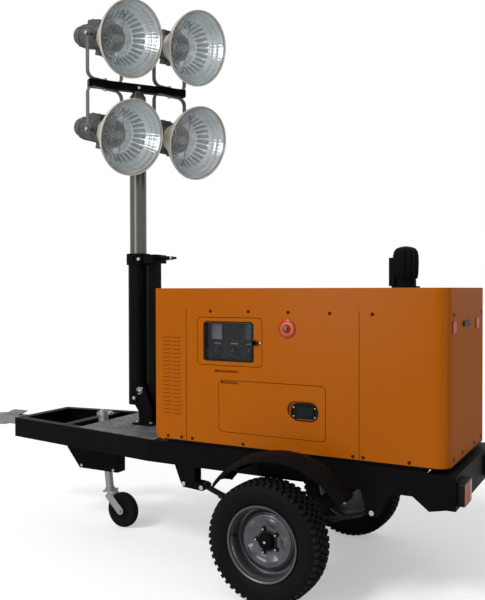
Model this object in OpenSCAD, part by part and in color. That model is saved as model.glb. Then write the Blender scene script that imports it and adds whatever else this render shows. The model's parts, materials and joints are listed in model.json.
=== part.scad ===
// Mobile light tower: a generator in a canopy on a single-axle trailer, with a
// telescopic mast at the front that carries four floodlights on a crossbar.
// Frame while modelling: +X forward to the tow coupling, +Y left, +Z up, with the
// axle at x = 0 and the ground at z = 0. The whole is then slid along X, so that its
// origin is the middle of its box, on the ground.

/* [Canopy] */
// Length of the canopy
canopy_l = 1547; // [1300:1:1800]
// Width of the canopy
canopy_w = 805; // [700:1:900]
// Height of the canopy
canopy_h = 798; // [650:1:950]
// How far the canopy's front face is ahead of the axle
canopy_front = 750; // [650:1:820]
// Thickness of the canopy's wall, sheet steel with its sound lining
wall_t = 30; // [20:1:40]
// Radius of the canopy's upright corners
corner_r = 60; // [40:1:80]
// Radius of the canopy's lower front edge
toe_r = 58; // [45:1:70]
// Height of the roof tray
roof_h = 107; // [80:1:130]
// Gap at panel and door seams
seam = 3; // [1:0.5:5]
// Distance from the canopy's front to the louvred panel's rear seam
louvre_panel_l = 198; // [175:1:230]
// Distance from the canopy's front to the rear panel's seam
rear_seam_at = 1141; // [1080:1:1200]

/* [Canopy openings] */
// Height of the service door
service_h = 259; // [200:1:280]
// Length of the service door
service_l = 578; // [500:1:600]
// Distance from the canopy's front to the service door's front edge
service_at = 395; // [300:1:420]
// Height of the service door's lower edge above the canopy's bottom
service_up = 73; // [66:1:90]
// Length of the control window
window_l = 372; // [320:1:400]
// Height of the control window
window_h = 240; // [200:1:260]
// Distance from the canopy's front to the control window's front edge
window_at = 267; // [230:1:290]
// Height of the control window's lower edge above the canopy's bottom
window_up = 408; // [390:1:430]
// Width of the control window's frame
window_frame = 44; // [30:1:60]
// Louvre slots in each column
louvre_rows = 20; // [6:1:20]
// Height from one louvre slot to the next
louvre_pitch = 21; // [19:0.5:22]

/* [Chassis] */
// Height of the chassis rails' top above the ground
rail_top = 657; // [600:1:700]
// Height of the chassis channels
rail_h = 117; // [90:1:130]
// Width of the chassis channels' flanges
rail_w = 52; // [40:1:60]
// Thickness of the chassis channels
rail_t = 6; // [4:0.5:8]
// Width across the chassis rails
chassis_w = 810; // [760:1:860]
// Width across the drawbar's front end
drawbar_w = 480; // [400:1:560]
// How far the drawbar's front end is ahead of the axle
drawbar_front = 1940; // [1800:1:2050]
// Reach of the tow coupling ahead of the drawbar
coupling_reach = 395; // [340:1:450]
// Thickness of the deck plate
deck_t = 4; // [3:0.5:6]
// How far the deck plate's front edge is ahead of the axle
deck_front = 1350; // [1300:1:1370]
// Thickness of the pads between chassis and canopy
pad_t = 12; // [8:1:20]

/* [Wheels] */
// Diameter of the tyres
tyre_d = 575; // [520:1:600]
// Width of the tyres
tyre_w = 168; // [150:1:180]
// Distance between the tyres' centre planes
track_w = 1114; // [1090:1:1180]
// Diameter of the rims' flanges
rim_d = 360; // [340:1:380]
// Width of the rims
rim_w = 140; // [130:1:148]
// Radius of the mudguards
guard_r = 425; // [400:1:440]
// Width of the mudguards
guard_w = 190; // [175:1:200]
// How far the mudguards are set behind the axle
guard_back = 70; // [40:1:80]

/* [Mast] */
// How far the mast is ahead of the axle
mast_at = 1156; // [1120:1:1200]
// Outer diameter of the mast's base tube
mast_d = 100; // [90:1:106]
// Wall of the mast's tubes
mast_t = 4; // [3:0.5:5]
// Step in diameter from one mast tube to the next
mast_step = 16; // [14:1:18]
// Height of the base tube's top above the ground
mast_top = 2607; // [2400:1:2700]
// Outer diameter of the mast's sleeve
sleeve_d = 120; // [116:1:126]
// Height of the sleeve's lower end above the ground
sleeve_low = 769; // [760:1:780]
// Height of the sleeve's top above the ground
sleeve_top = 1608; // [1500:1:1700]
// Height of the tilt pin above the ground
tilt_up = 814; // [806:1:825]
// How far the tilt pin is behind the mast's axis
tilt_back = 30; // [25:1:34]

/* [Lamp head] */
// Diameter of the lamps' rims
lamp_d = 430; // [380:1:440]
// Distance from a lamp's pivot to its rim
lamp_reach = 282; // [260:1:300]
// Distance from a lamp's pivot to its back end
lamp_back = 282; // [250:1:300]
// Tilt of the lamps below level
lamp_pitch = 15; // [0:1:20]
// Direction that the lamps face, turned from forward towards the left
lamp_heading = 164; // [160:1:168]
// Length of the crossbar
bar_l = 600; // [560:1:700]
// Side of the crossbar's square tube
bar_s = 45; // [35:1:50]
// Direction of the crossbar's left end, turned from forward towards the left
bar_heading = 54; // [50:1:60]
// Distance from the mast to each yoke's bolt
yoke_at = 202; // [198:1:220]
// Distance between the yokes' arms, middle to middle
yoke_w = 240; // [230:1:248]
// Height from the crossbar's middle to the lamps' pivots
yoke_h = 278; // [270:1:300]

/* [Hidden] */
$fn = 64;

seat = 0.3;
big = 4000;
ORANGE = [0.80, 0.42, 0.05];
BLACK = [0.08, 0.08, 0.09];
SILVER = [0.72, 0.73, 0.75];
GREY = [0.45, 0.45, 0.46];
GLASS = [0.75, 0.85, 0.9, 0.35];

// Main levels and ends
rail_low = rail_top - rail_h;
rail_y = chassis_w / 2;
canopy_low = rail_top + pad_t;
canopy_top = canopy_low + canopy_h;
canopy_rear = canopy_front - canopy_l;
canopy_y = canopy_w / 2;
wall_top = canopy_top - roof_h;
rail_rear_in = 95;
rail_rear = canopy_rear + rail_rear_in;
deck_lead = 50;
rail_front = canopy_front + deck_lead;
rear_beam_l = 128;
rear_end = rail_rear - rear_beam_l;
tail_lamp_t = 34;
coupling_tip = drawbar_front + coupling_reach;
rear_tip = rear_end - tail_lamp_t;
mid_x = (coupling_tip + rear_tip) / 2;
axle_z = tyre_d / 2;

// Puts what is drawn at its place in the finished part's own frame
module placed() { translate([-mid_x, 0, 0]) children(); }

// Draws its children on the left and mirrored on the right
module both_sides() { children(); mirror([0, 1, 0]) children(); }

// A block from its lowest to its highest corner
module block(low, high) { translate(low) cube(high - low); }

// A plate in the XZ plane from y = low to y = high
module side_plate(points, low, high) {
    translate([0, high, 0]) rotate([90, 0, 0]) linear_extrude(high - low) polygon(points);
}

// A round bar along Y
module cross_pin(x, z, d, low, high) {
    translate([x, low, z]) rotate([-90, 0, 0]) cylinder(h = high - low, d = d);
}

// A body turned about X, from points [radius, place along X]
module turned(points) { rotate([90, 0, 90]) rotate_extrude() polygon(points); }

// A body turned about Y, from points [radius, place along Y]
module turned_y(points) { rotate([-90, 0, 0]) rotate_extrude() polygon(points); }

// A rectangle with round corners
module round_rect(l, w, r) {
    translate([r, 0]) square([l - 2 * r, w]);
    translate([0, r]) square([l, w - 2 * r]);
    for (x = [r, l - r], y = [r, w - r]) translate([x, y]) circle(r);
}

// Chassis: channels welded with mitred corners, open at the rear, with cross members
drawbar_run = drawbar_front - rail_front;
drawbar_turn = atan((rail_y - drawbar_w / 2) / drawbar_run);
cross_l = 60;
rear_cross_at = rail_rear + 282;
mid_cross_at = rail_front - 620;
mast_cross_at = mast_at - 20;
jack_cross_at = drawbar_front - 450;
CROSS_AT = [rear_cross_at, mid_cross_at, rail_front - cross_l, mast_cross_at, jack_cross_at];
// Half the width inside the frame's outer face by d, at a place along X
function half_at(x, d) = min(rail_y - d,
    rail_y - (x - rail_front) * tan(drawbar_turn) - d / cos(drawbar_turn));
// The frame's plan, inside its outer face by d
module frame_plan(d, rear) {
    bend = rail_front - d * tan(drawbar_turn / 2);
    front = drawbar_front - d;
    polygon([[rear, -rail_y + d], [bend, -rail_y + d], [front, -half_at(front, d)],
        [front, half_at(front, d)], [bend, rail_y - d], [rear, rail_y - d]]);
}
module frame_ring(d, z, h) {
    translate([0, 0, z]) linear_extrude(h) difference() {
        frame_plan(0, rail_rear);
        frame_plan(d, rail_rear - 1);
    }
}
module cross_member(x) {
    ends = [for (e = [x, x + cross_l]) [e, half_at(e, rail_t)]];
    translate([0, 0, rail_low + rail_t]) linear_extrude(rail_h - 2 * rail_t)
        polygon([[ends[0][0], -ends[0][1]], [ends[1][0], -ends[1][1]], ends[1], ends[0]]);
}
module chassis_frame() placed() color(BLACK) {
    frame_ring(rail_t, rail_low, rail_h);
    frame_ring(rail_w, rail_low, rail_t);
    frame_ring(rail_w, rail_top - rail_t, rail_t);
}
module cross_members() placed() color(BLACK) {
    for (x = CROSS_AT) cross_member(x);
}

module deck_plate() placed() color(GREY) {
    edge = 6;
    back = canopy_front + edge;
    translate([0, 0, rail_top]) linear_extrude(deck_t) polygon([
        [back, -half_at(back, edge)], [rail_front, -half_at(rail_front, edge)],
        [deck_front, -half_at(deck_front, edge)], [deck_front, half_at(deck_front, edge)],
        [rail_front, half_at(rail_front, edge)], [back, half_at(back, edge)]]);
}

// Tow coupling: a shank bolted to the drawbar, and a head with a ball socket below
coupling_z = rail_top - 62;
ball_d = 50;
socket_d = ball_d + 1;
flange_s = 0.41 * rail_h;
flange_t = 14;
shank_w = 70;
shank_low = coupling_z - 30;
shank_top = coupling_z + 26;
head_r = 46;
head_low = coupling_z - 40;
ball_at = coupling_tip - head_r;
lever_l = 0.3 * coupling_reach;
lever_rise = 32;
lever_half = 14;
module tow_coupling() placed() color(GREY) difference() {
    union() {
        block([drawbar_front, -shank_w, coupling_z - flange_s],
            [drawbar_front + flange_t, shank_w, coupling_z + flange_s]);
        block([drawbar_front + flange_t / 2, -shank_w / 2, shank_low],
            [ball_at - head_r / 2, shank_w / 2, shank_top]);
        translate([ball_at, 0, head_low]) cylinder(h = shank_top - head_low, r = head_r);
        // Release lever on top
        side_plate([[ball_at - head_r / 2 - lever_l, shank_top - 2], [ball_at - head_r / 2, shank_top - 2],
            [ball_at - 2 * head_r, shank_top + lever_rise],
            [ball_at - 2 * head_r - lever_l, shank_top + lever_rise]], -lever_half, lever_half);
    }
    translate([ball_at, 0, coupling_z - 22]) sphere(d = socket_d);
    translate([ball_at, 0, head_low - 20]) cylinder(h = 38, d = socket_d);
}

// Jockey wheel: a leaning tube in a bracket below the drawbar
jack_lean = 6.7;
jack_x = drawbar_front - 528;
jack_z = rail_low - 40;
jack_tube_d = 60;
jack_bore_d = 50;
jack_leg_d = 49;
jack_tube_low = -155;
jack_tube_high = 205;
jack_wheel_d = 212;
jack_wheel_w = 50;
jack_wheel_x = jack_x - 134;
jack_wheel_z = jack_wheel_d / 2;
jack_travel = 100;
bracket_gap = jack_tube_d / 2 + seat;
bracket_t = 8;
bracket_h = 202;
bracket_rear = jack_x - 120;
bracket_mid = jack_x + 58;
bracket_toe = jack_x + 178;
bracket_tip = jack_x + 348;
bracket_half = 300;
bracket_foot_l = 68;
// Draws its children in the leaning tube's own frame
module on_jack() { translate([jack_x, 0, jack_z]) rotate([0, jack_lean, 0]) children(); }
module jack_bracket() placed() color(BLACK) {
    difference() {
        union() {
            both_sides() side_plate([[bracket_tip, rail_low], [bracket_toe, rail_low - bracket_h],
                [bracket_rear, rail_low - bracket_h], [bracket_rear, rail_low]],
                bracket_gap, bracket_gap + bracket_t);
            for (x = [bracket_rear, bracket_mid]) block([x, -bracket_gap - 1, rail_low - bracket_h],
                [x + bracket_t, bracket_gap + 1, rail_low]);
            block([bracket_mid + 30, -bracket_gap - 1, rail_low - bracket_t],
                [bracket_tip - 60, bracket_gap + 1, rail_low]);
            block([bracket_rear, -bracket_half, rail_low - bracket_t],
                [bracket_rear + bracket_foot_l, bracket_half, rail_low]);
        }
        on_jack() translate([0, 0, -big / 2]) cylinder(h = big, d = jack_tube_d + 2 * seat);
    }
}
jack_cap_t = 8;
jack_bore_top = jack_tube_high - jack_cap_t;
clamp_h = 22;
clamp_z = jack_tube_high - clamp_h - jack_cap_t;
module jack_tube() placed() color(GREY) on_jack() difference() {
    union() {
        translate([0, 0, jack_tube_low])
            cylinder(h = jack_tube_high - jack_tube_low, d = jack_tube_d);
        translate([0, 0, clamp_z]) cylinder(h = clamp_h, d = jack_tube_d + 16);
        // Clamp screw with its bar, towards the mast
        block([-jack_tube_d, -6, clamp_z + 4], [0, 6, clamp_z + 18]);
        block([-jack_tube_d - 10, -22, clamp_z + 6], [-jack_tube_d + 2, 22, clamp_z + 16]);
    }
    translate([0, 0, jack_tube_low - 1])
        cylinder(h = jack_bore_top - jack_tube_low + 1, d = jack_bore_d);
}
jack_foot = -282;
jack_leg_top = jack_bore_top - jack_travel - 6;
leg_flange_d = jack_tube_d + 2;
module jack_leg() placed() color(GREY) on_jack() {
    translate([0, 0, jack_foot]) cylinder(h = jack_leg_top - jack_foot, d = jack_leg_d);
    translate([0, 0, jack_foot]) cylinder(h = 10, d = leg_flange_d);
}
fork_t = 6;
// The wheel's axle in the leaning tube's own frame
fork_end = [(jack_wheel_x - jack_x) * cos(jack_lean) - (jack_wheel_z - jack_z) * sin(jack_lean),
    (jack_wheel_x - jack_x) * sin(jack_lean) + (jack_wheel_z - jack_z) * cos(jack_lean)];
fork_half = jack_wheel_w / 2 + 5;
fork_r = 24;
fork_top_t = 12;
fork_axle_d = 16;
module fork_plate() {
    top = jack_foot - 20;
    turn = atan2(fork_end[0], top - fork_end[1]);
    reach = norm([fork_end[0], top - fork_end[1]]);
    translate([fork_end[0], fork_half, fork_end[1]]) rotate([0, -turn, 0]) {
        block([-fork_r, 0, 0], [fork_r, fork_t, reach]);
        rotate([-90, 0, 0]) cylinder(h = fork_t, r = fork_r);
    }
}
module jack_fork() placed() color(SILVER) on_jack() {
    both_sides() intersection() {
        fork_plate();
        block([-big, 0, -big], [big, big, jack_foot - seat]);
    }
    block([-36, -fork_half - fork_t, jack_foot - fork_top_t - seat],
        [30, fork_half + fork_t, jack_foot - seat]);
    translate([fork_end[0], 0, fork_end[1]])
        cross_pin(0, 0, fork_axle_d, -fork_half - fork_t - 8, fork_half + fork_t + 8);
}
module jack_wheel() placed() color(BLACK) translate([jack_wheel_x, 0, jack_wheel_z]) {
    half = jack_wheel_w / 2;
    r = jack_wheel_d / 2;
    disc_t = 16;
    HALF = [[34, half], [34, disc_t], [r - 44, disc_t], [r - 36, half - 2], [r - 12, half - 2],
        [r - 2, half - 10], [r, half - 17]];
    turned_y(concat([[fork_axle_d / 2 + 0.1, half]], HALF,
        [for (i = [len(HALF) - 1 : -1 : 0]) [HALF[i][0], -HALF[i][1]]],
        [[fork_axle_d / 2 + 0.1, -half]]));
}

// Axle and springs
axle_s = 60;
spindle_d = 40;
hub_gap = 0.1;
hub_back = 62;
hub_in = track_w / 2 - hub_back;
hub_out = track_w / 2 + 8;
beam_short = 12;
module axle_beam() placed() color(BLACK) {
    block([-axle_s / 2, -hub_in + beam_short, axle_z - axle_s / 2],
        [axle_s / 2, hub_in - beam_short, axle_z + axle_s / 2]);
    translate([0, 0, axle_z]) cross_pin(0, 0, spindle_d, -hub_out, hub_out);
}

spring_y = rail_y - 30;
spring_w = 50;
leaf_t = 7;
leaf_count = 4;
seat_t = 12;
spring_half = -0.648 * rail_rear;
eye_z = axle_z + 154.5;
eye_d = 36;
eye_pin_d = 16;
main_low = axle_z + axle_s / 2 + seat_t + (leaf_count - 1) * leaf_t;
spring_rise = eye_z - main_low;
spring_r = (spring_half * spring_half + spring_rise * spring_rise) / (2 * spring_rise);
saddle_half = 56;
saddle_w = 80;
saddle_t = 10;
bolt_d = 11;
bolt_low = axle_z - axle_s / 2 - 24;
bolt_top = main_low + leaf_t + 20;
module leaf(i) {
    // Leaf i counts from the main leaf down, each one shorter
    r = spring_r + i * leaf_t;
    half = spring_half * (1 - 0.2 * i);
    translate([0, spring_y - spring_w / 2, main_low + spring_r]) intersection() {
        rotate([-90, 0, 0]) difference() {
            cylinder(h = spring_w, r = r, $fn = 180);
            translate([0, 0, -1]) cylinder(h = spring_w + 2, r = r - leaf_t - 0.2, $fn = 180);
        }
        translate([-half, -1, -r - 1]) cube([2 * half, spring_w + 2, r]);
    }
}
module leaf_springs() placed() color(BLACK) both_sides() {
    difference() {
        union() {
            for (i = [0 : leaf_count - 1]) leaf(i);
            for (s = [-1, 1]) cross_pin(s * spring_half, eye_z, eye_d,
                spring_y - spring_w / 2, spring_y + spring_w / 2);
        }
        for (s = [-1, 1]) cross_pin(s * spring_half, eye_z, eye_pin_d + 0.6,
            spring_y - spring_w, spring_y + spring_w);
    }
    block([-saddle_half + 4, spring_y - spring_w / 2, axle_z + axle_s / 2],
        [saddle_half - 4, spring_y + spring_w / 2, axle_z + axle_s / 2 + seat_t + 1]);
    for (z = [main_low + leaf_t - 1, axle_z - axle_s / 2 - saddle_t])
        block([-saddle_half, spring_y - saddle_w / 2, z],
            [saddle_half, spring_y + saddle_w / 2, z + saddle_t]);
    for (x = [-38, 38], y = [-31, 31]) translate([x, spring_y + y, bolt_low])
        cylinder(h = bolt_top - bolt_low, d = bolt_d);
}

hanger_t = 6;
link_x = spring_half + 107;
link_z = eye_z + 8;
plate_low = eye_z - 18;
front_hanger = [link_x - 62, link_x + 60];
rear_hanger = [-spring_half - 85, -spring_half + 55];
link_half = 19;
pin_over = 8;
hanger_in = spring_y - spring_w / 2 - 2;
hanger_out = spring_y + spring_w / 2 + 2;
module hanger_pair(points) {
    side_plate(points, hanger_in - hanger_t, hanger_in);
    side_plate(points, hanger_out, hanger_out + hanger_t);
}
module spring_hangers() placed() color(BLACK) both_sides() {
    hanger_pair([[front_hanger[1], rail_low], [link_x + 28, link_z + 12], [link_x + 8, link_z - 20],
        [link_x - 30, link_z - 20], [front_hanger[0], link_z + 18], [front_hanger[0], rail_low]]);
    hanger_pair([[rear_hanger[1], rail_low], [-spring_half + 25, plate_low],
        [-spring_half - 25, plate_low], [rear_hanger[0], rail_low]]);
    for (h = [front_hanger, rear_hanger]) block([h[0], hanger_in - 1, rail_low - 8],
        [h[1], hanger_out + 1, rail_low]);
    for (p = [[link_x, link_z], [spring_half, eye_z], [-spring_half, eye_z]])
        cross_pin(p[0], p[1], eye_pin_d, hanger_in - hanger_t - pin_over,
            hanger_out + hanger_t + pin_over);
    // Links from the front hanger to the spring's front eye
    for (y = [hanger_in, hanger_out + hanger_t]) translate([0, y, 0])
        side_plate([[link_x + 4, link_z + link_half], [spring_half, eye_z + link_half],
            [spring_half - 12, eye_z + 12], [spring_half - 12, eye_z - 12],
            [spring_half, eye_z - link_half], [link_x + 4, link_z - link_half]], -hanger_t, -1);
}

// Mudguards: a crowned arch over each wheel, on two stays from the chassis rail
guard_t = 3;
guard_from = 36;
guard_to = 143;
guard_crown = 26;
guard_lip = 34;
guard_shoulder = 6;
guard_y = track_w / 2;
stay_half = 15;
stay_t = 6;
stay_r = guard_r - guard_lip - 2;
stay_low_max = rail_top - 14;
GUARD_STAYS = [60, 118];
module guard_section() {
    half = guard_w / 2;
    polygon([[guard_r - guard_lip, -half], [guard_r - guard_crown, -half],
        [guard_r - guard_shoulder, -half * 0.55], [guard_r, 0], [guard_r - guard_shoulder, half * 0.55],
        [guard_r - guard_crown, half], [guard_r - guard_lip, half],
        [guard_r - guard_lip, half - guard_t], [guard_r - guard_crown - 1, half - guard_t],
        [guard_r - guard_shoulder - guard_t, half * 0.53], [guard_r - guard_t, 0],
        [guard_r - guard_shoulder - guard_t, -half * 0.53],
        [guard_r - guard_crown - 1, -half + guard_t], [guard_r - guard_lip, -half + guard_t]]);
}
module mudguards() placed() color(BLACK) both_sides() {
    translate([-guard_back, guard_y, axle_z]) intersection() {
        rotate([-90, 0, 0]) rotate_extrude() guard_section();
        side_plate([[0, 0], [big * cos(guard_from), big * sin(guard_from)], [0, big],
            [big * cos(guard_to), big * sin(guard_to)]], -guard_w, guard_w);
    }
    for (a = GUARD_STAYS) {
        x = -guard_back + stay_r * cos(a);
        z = axle_z + stay_r * sin(a);
        arm_z = min(z, stay_low_max);
        block([x - stay_half, rail_y, arm_z - stay_t + 1],
            [x + stay_half, guard_y + guard_w / 2 - guard_t + 1, arm_z + 1]);
        // Where the guard stands higher than the rail, posts carry its lips
        for (y = [guard_y - guard_w / 2, guard_y + guard_w / 2 - guard_t])
            block([x - stay_half, y, arm_z - stay_t + 1], [x + stay_half, y + guard_t, z + 1]);
    }
}

// Rear beam with its corner plates, and the tail lamps
beam_low = rail_low - 42;
beam_top = rail_top - 8;
module rear_beam() placed() color(BLACK) {
    difference() {
        block([rear_end, -rail_y, beam_low], [rail_rear, rail_y, beam_top]);
        block([rear_end + rail_t, -rail_y - 1, beam_low - 1],
            [rail_rear + 1, rail_y + 1, beam_top - rail_t]);
    }
    both_sides() side_plate([[rail_rear + 62, rail_low], [rail_rear - 12, beam_low - 16],
        [rear_end + 40, beam_low], [rear_end, beam_low], [rear_end, beam_top],
        [rail_rear, beam_top], [rail_rear, rail_low]], rail_y - rail_t, rail_y);
}
tail_lamp_w = 150;
tail_lamp_h = 104;
tail_lamp_in = 22;
tail_lamp_low = rail_low - 26;
module tail_lamps() placed() color([0.55, 0.08, 0.05]) both_sides()
    block([rear_tip, rail_y - tail_lamp_in - tail_lamp_w, tail_lamp_low],
        [rear_end, rail_y - tail_lamp_in, tail_lamp_low + tail_lamp_h]);

// Mast foot: two cheeks that carry the tilt pin, and the post that the mast leans on
cheek_t = 10;
cheek_y = sleeve_d / 2 + 6;
foot_top = rail_top + deck_t;
tilt_x = mast_at - tilt_back;
post_x = mast_at - 120;
post_s = 56;
lock_x = mast_at - 72;
lock_z = tilt_up + 48;
foot_half = 110;
foot_t = 12;
tilt_pin_d = 24;
module mast_foot() placed() color(BLACK) {
    block([post_x - 50, -foot_half, foot_top], [tilt_x, foot_half, foot_top + foot_t]);
    both_sides() side_plate([[post_x - 26, foot_top + foot_t - 1],
        [tilt_x - 28, foot_top + foot_t - 1], [tilt_x - 24, foot_top + 75],
        [tilt_x + 26, tilt_up - 12], [tilt_x + 26, tilt_up + 14], [lock_x + 22, lock_z + 26],
        [lock_x - 22, lock_z + 26], [post_x - 26, foot_top + 90]], cheek_y, cheek_y + cheek_t);
    cross_pin(tilt_x, tilt_up, tilt_pin_d, -cheek_y - cheek_t - 6, cheek_y + cheek_t + 6);
}
saddle_low = sleeve_top + 8;
saddle_top = sleeve_top + 58;
latch_lever_l = 120;
module mast_post() placed() color(BLACK) {
    block([post_x - post_s / 2, -post_s / 2, foot_top + foot_t],
        [post_x + post_s / 2, post_s / 2, saddle_top + 2]);
    // Saddle that the mast's collar leans on, with its latch lever
    block([post_x - 36, -70, saddle_low], [post_x + post_s / 2 + 2, 70, saddle_top]);
    block([post_x - 30 - latch_lever_l, -10, sleeve_top + 30], [post_x - 30, 10, sleeve_top + 44]);
}

// Canopy
service_x1 = canopy_front - service_at;
service_x0 = service_x1 - service_l;
service_z0 = canopy_low + service_up;
window_x1 = canopy_front - window_at;
window_x0 = window_x1 - window_l;
window_z0 = canopy_low + window_up;
louvre_seam = canopy_front - louvre_panel_l;
rear_seam = canopy_front - rear_seam_at;
floor_t = 6;
side_split = canopy_y - corner_r - 12;
end_gap = seam;
door_r = 22;

module plan_outline(inset) {
    translate([canopy_rear + inset, -canopy_y + inset])
        round_rect(canopy_l - 2 * inset, canopy_w - 2 * inset, corner_r - inset);
}
// Everything inside the canopy's side outline, with its round lower front edge
module side_outline(low, high) {
    translate([0, canopy_y + 1, 0]) rotate([90, 0, 0]) linear_extrude(canopy_w + 2) {
        translate([canopy_rear - 1, low]) square([canopy_l + 1 - toe_r, high - low]);
        translate([canopy_rear - 1, canopy_low + toe_r])
            square([canopy_l + 1, high - canopy_low - toe_r]);
        translate([canopy_front - toe_r, canopy_low + toe_r]) circle(toe_r);
    }
}
// The ring of the canopy's wall from x0 to x1
module wall_ring(z0, z1) {
    translate([0, 0, z0]) difference() {
        linear_extrude(z1 - z0) plan_outline(0);
        translate([0, 0, -1]) linear_extrude(z1 - z0 + 2) plan_outline(wall_t);
    }
}
// A door or window opening through the left wall
module side_hole(x0, z0, l, h, r, grow) {
    translate([x0 - grow, canopy_y + 5, z0 - grow]) rotate([90, 0, 0])
        linear_extrude(wall_t + 20) round_rect(l + 2 * grow, h + 2 * grow, r + grow);
}
module side_leaf(x0, z0, l, h, r, t = wall_t) {
    translate([x0, canopy_y, z0]) rotate([90, 0, 0]) linear_extrude(t) round_rect(l, h, r);
}
louvre_w = 48;
louvre_h = 7;
louvre_top = wall_top - 150;
louvre_step = 62;
LOUVRE_COLUMNS = [for (i = [1, 2]) canopy_front - 34 - i * louvre_step];
module louvre_slots() {
    for (x = LOUVRE_COLUMNS, i = [0 : louvre_rows - 1])
        translate([x, canopy_y - wall_t - 1, louvre_top - i * louvre_pitch])
            cube([louvre_w, wall_t + 2, louvre_h]);
}
// A narrow recess pressed into the left wall
slot_h = 12;
slot_deep = 14;
grip_x1 = service_x1 + 23;
module side_slot(x0, x1, z) {
    block([x0, canopy_y - slot_deep, z], [x1, canopy_y + 1, z + slot_h]);
}
// One side of the canopy, as its three panels with a seam between each
module canopy_side() {
    PANELS = [[canopy_rear - 1, rear_seam - seam / 2], [rear_seam + seam / 2, louvre_seam - seam / 2],
        [louvre_seam + seam / 2, canopy_front + 1]];
    for (p = PANELS) intersection() {
        wall_ring(canopy_low + floor_t, wall_top);
        side_outline(canopy_low, canopy_top);
        block([p[0], side_split, canopy_low], [p[1], canopy_y + 1, wall_top]);
    }
}
module canopy_left() placed() color(ORANGE) difference() {
    canopy_side();
    side_hole(service_x0, service_z0, service_l, service_h, door_r, seam);
    side_hole(window_x0, window_z0, window_l, window_h, door_r, seam);
    hinge_line(service_x1, service_z0, service_h, hinge_d + hinge_fit);
    hinge_line(window_x1, window_z0, window_h, hinge_d + hinge_fit);
    louvre_slots();
    side_slot(grip_x1 - 133, grip_x1, window_z0 - 36);
}
module canopy_right() placed() color(ORANGE) mirror([0, 1, 0]) difference() {
    canopy_side();
    side_hole(service_x0, service_z0, service_l, service_h, door_r, seam);
    hinge_line(service_x1, service_z0, service_h, hinge_d + hinge_fit);
    louvre_slots();
}
module end_wall(front) {
    intersection() {
        wall_ring(canopy_low + floor_t, wall_top);
        side_outline(canopy_low, canopy_top);
        block([front ? canopy_front - wall_t - 30 : canopy_rear - 1, -side_split + end_gap, canopy_low],
            [front ? canopy_front + 1 : canopy_rear + wall_t + 1, side_split - end_gap, wall_top]);
    }
}
module canopy_front_wall() placed() color(ORANGE) end_wall(true);
module canopy_rear_wall() placed() color(ORANGE) end_wall(false);
module canopy_floor() placed() color(BLACK) {
    intersection() {
        translate([0, 0, canopy_low]) linear_extrude(floor_t) plan_outline(0);
        side_outline(canopy_low, canopy_top);
    }
    both_sides() block([rail_rear + 20, rail_y - rail_w, rail_top],
        [canopy_front - toe_r - 20, rail_y - 12, canopy_low]);
}
module canopy_roof() placed() color(ORANGE) difference() {
    translate([0, 0, wall_top]) linear_extrude(roof_h) plan_outline(0);
    translate([0, 0, wall_top - 1]) linear_extrude(roof_h - wall_t + 1) plan_outline(wall_t);
    translate([exhaust_x, 0, canopy_top - wall_t - 1]) cylinder(h = wall_t + 2, d = exhaust_d - 30);
}

// Exhaust outlet: a flange, a short neck and a fluted rain cap
exhaust_x = canopy_rear + 307;
exhaust_d = 128;
exhaust_h = 208;
flute_count = 12;
flute_r = 14;
cap_h = 44;
module exhaust_outlet() placed() color(BLACK) translate([exhaust_x, 0, canopy_top]) {
    cylinder(h = 8, d = exhaust_d + 12);
    difference() {
        union() {
            cylinder(h = exhaust_h - cap_h + 4, d = exhaust_d - flute_r);
            for (i = [0 : flute_count - 1]) rotate([0, 0, i * 360 / flute_count])
                translate([exhaust_d / 2 - flute_r, 0, 20])
                    cylinder(h = exhaust_h - cap_h - 18, r = flute_r);
        }
        translate([0, 0, 10]) cylinder(h = exhaust_h, d = exhaust_d - 50);
    }
    translate([0, 0, exhaust_h - cap_h]) cylinder(h = cap_h, d1 = exhaust_d - 10, d2 = 60);
}

// Control panel behind the window, emergency stop, and the generator set as one block
panel_deep = 70;
panel_edge = 12;
panel_t = 6;
panel_y1 = canopy_y - wall_t;
panel_y0 = panel_y1 - panel_deep;
module control_panel() placed() color([0.12, 0.12, 0.13]) difference() {
    block([window_x0 - panel_edge, panel_y0 - 4, window_z0 - panel_edge],
        [window_x1 + panel_edge, panel_y1, window_z0 + window_h + panel_edge]);
    block([window_x0 - panel_t, panel_y0, window_z0 - panel_t],
        [window_x1 + panel_t, panel_y1 + 1, window_z0 + window_h + panel_t]);
}
stop_x = canopy_front - 776;
stop_z = wall_top - 90;
stop_r = 46;
module emergency_stop() placed() color([0.6, 0.1, 0.05]) translate([stop_x, canopy_y, stop_z])
    turned_y([[0, 0], [stop_r, 0], [stop_r, 4], [stop_r - 6, 9], [24, 9], [24, 22], [20, 28],
        [0, 30]]);
genset_ahead = 190;
genset_behind = 177;
genset_side = 150;
genset_h = 0.65 * canopy_h;
genset_half = canopy_y - genset_side;
module generator_set() placed() color(GREY)
    block([canopy_rear + genset_behind, -genset_half, canopy_low + floor_t],
        [canopy_front - genset_ahead, genset_half, canopy_low + floor_t + genset_h]);

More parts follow.
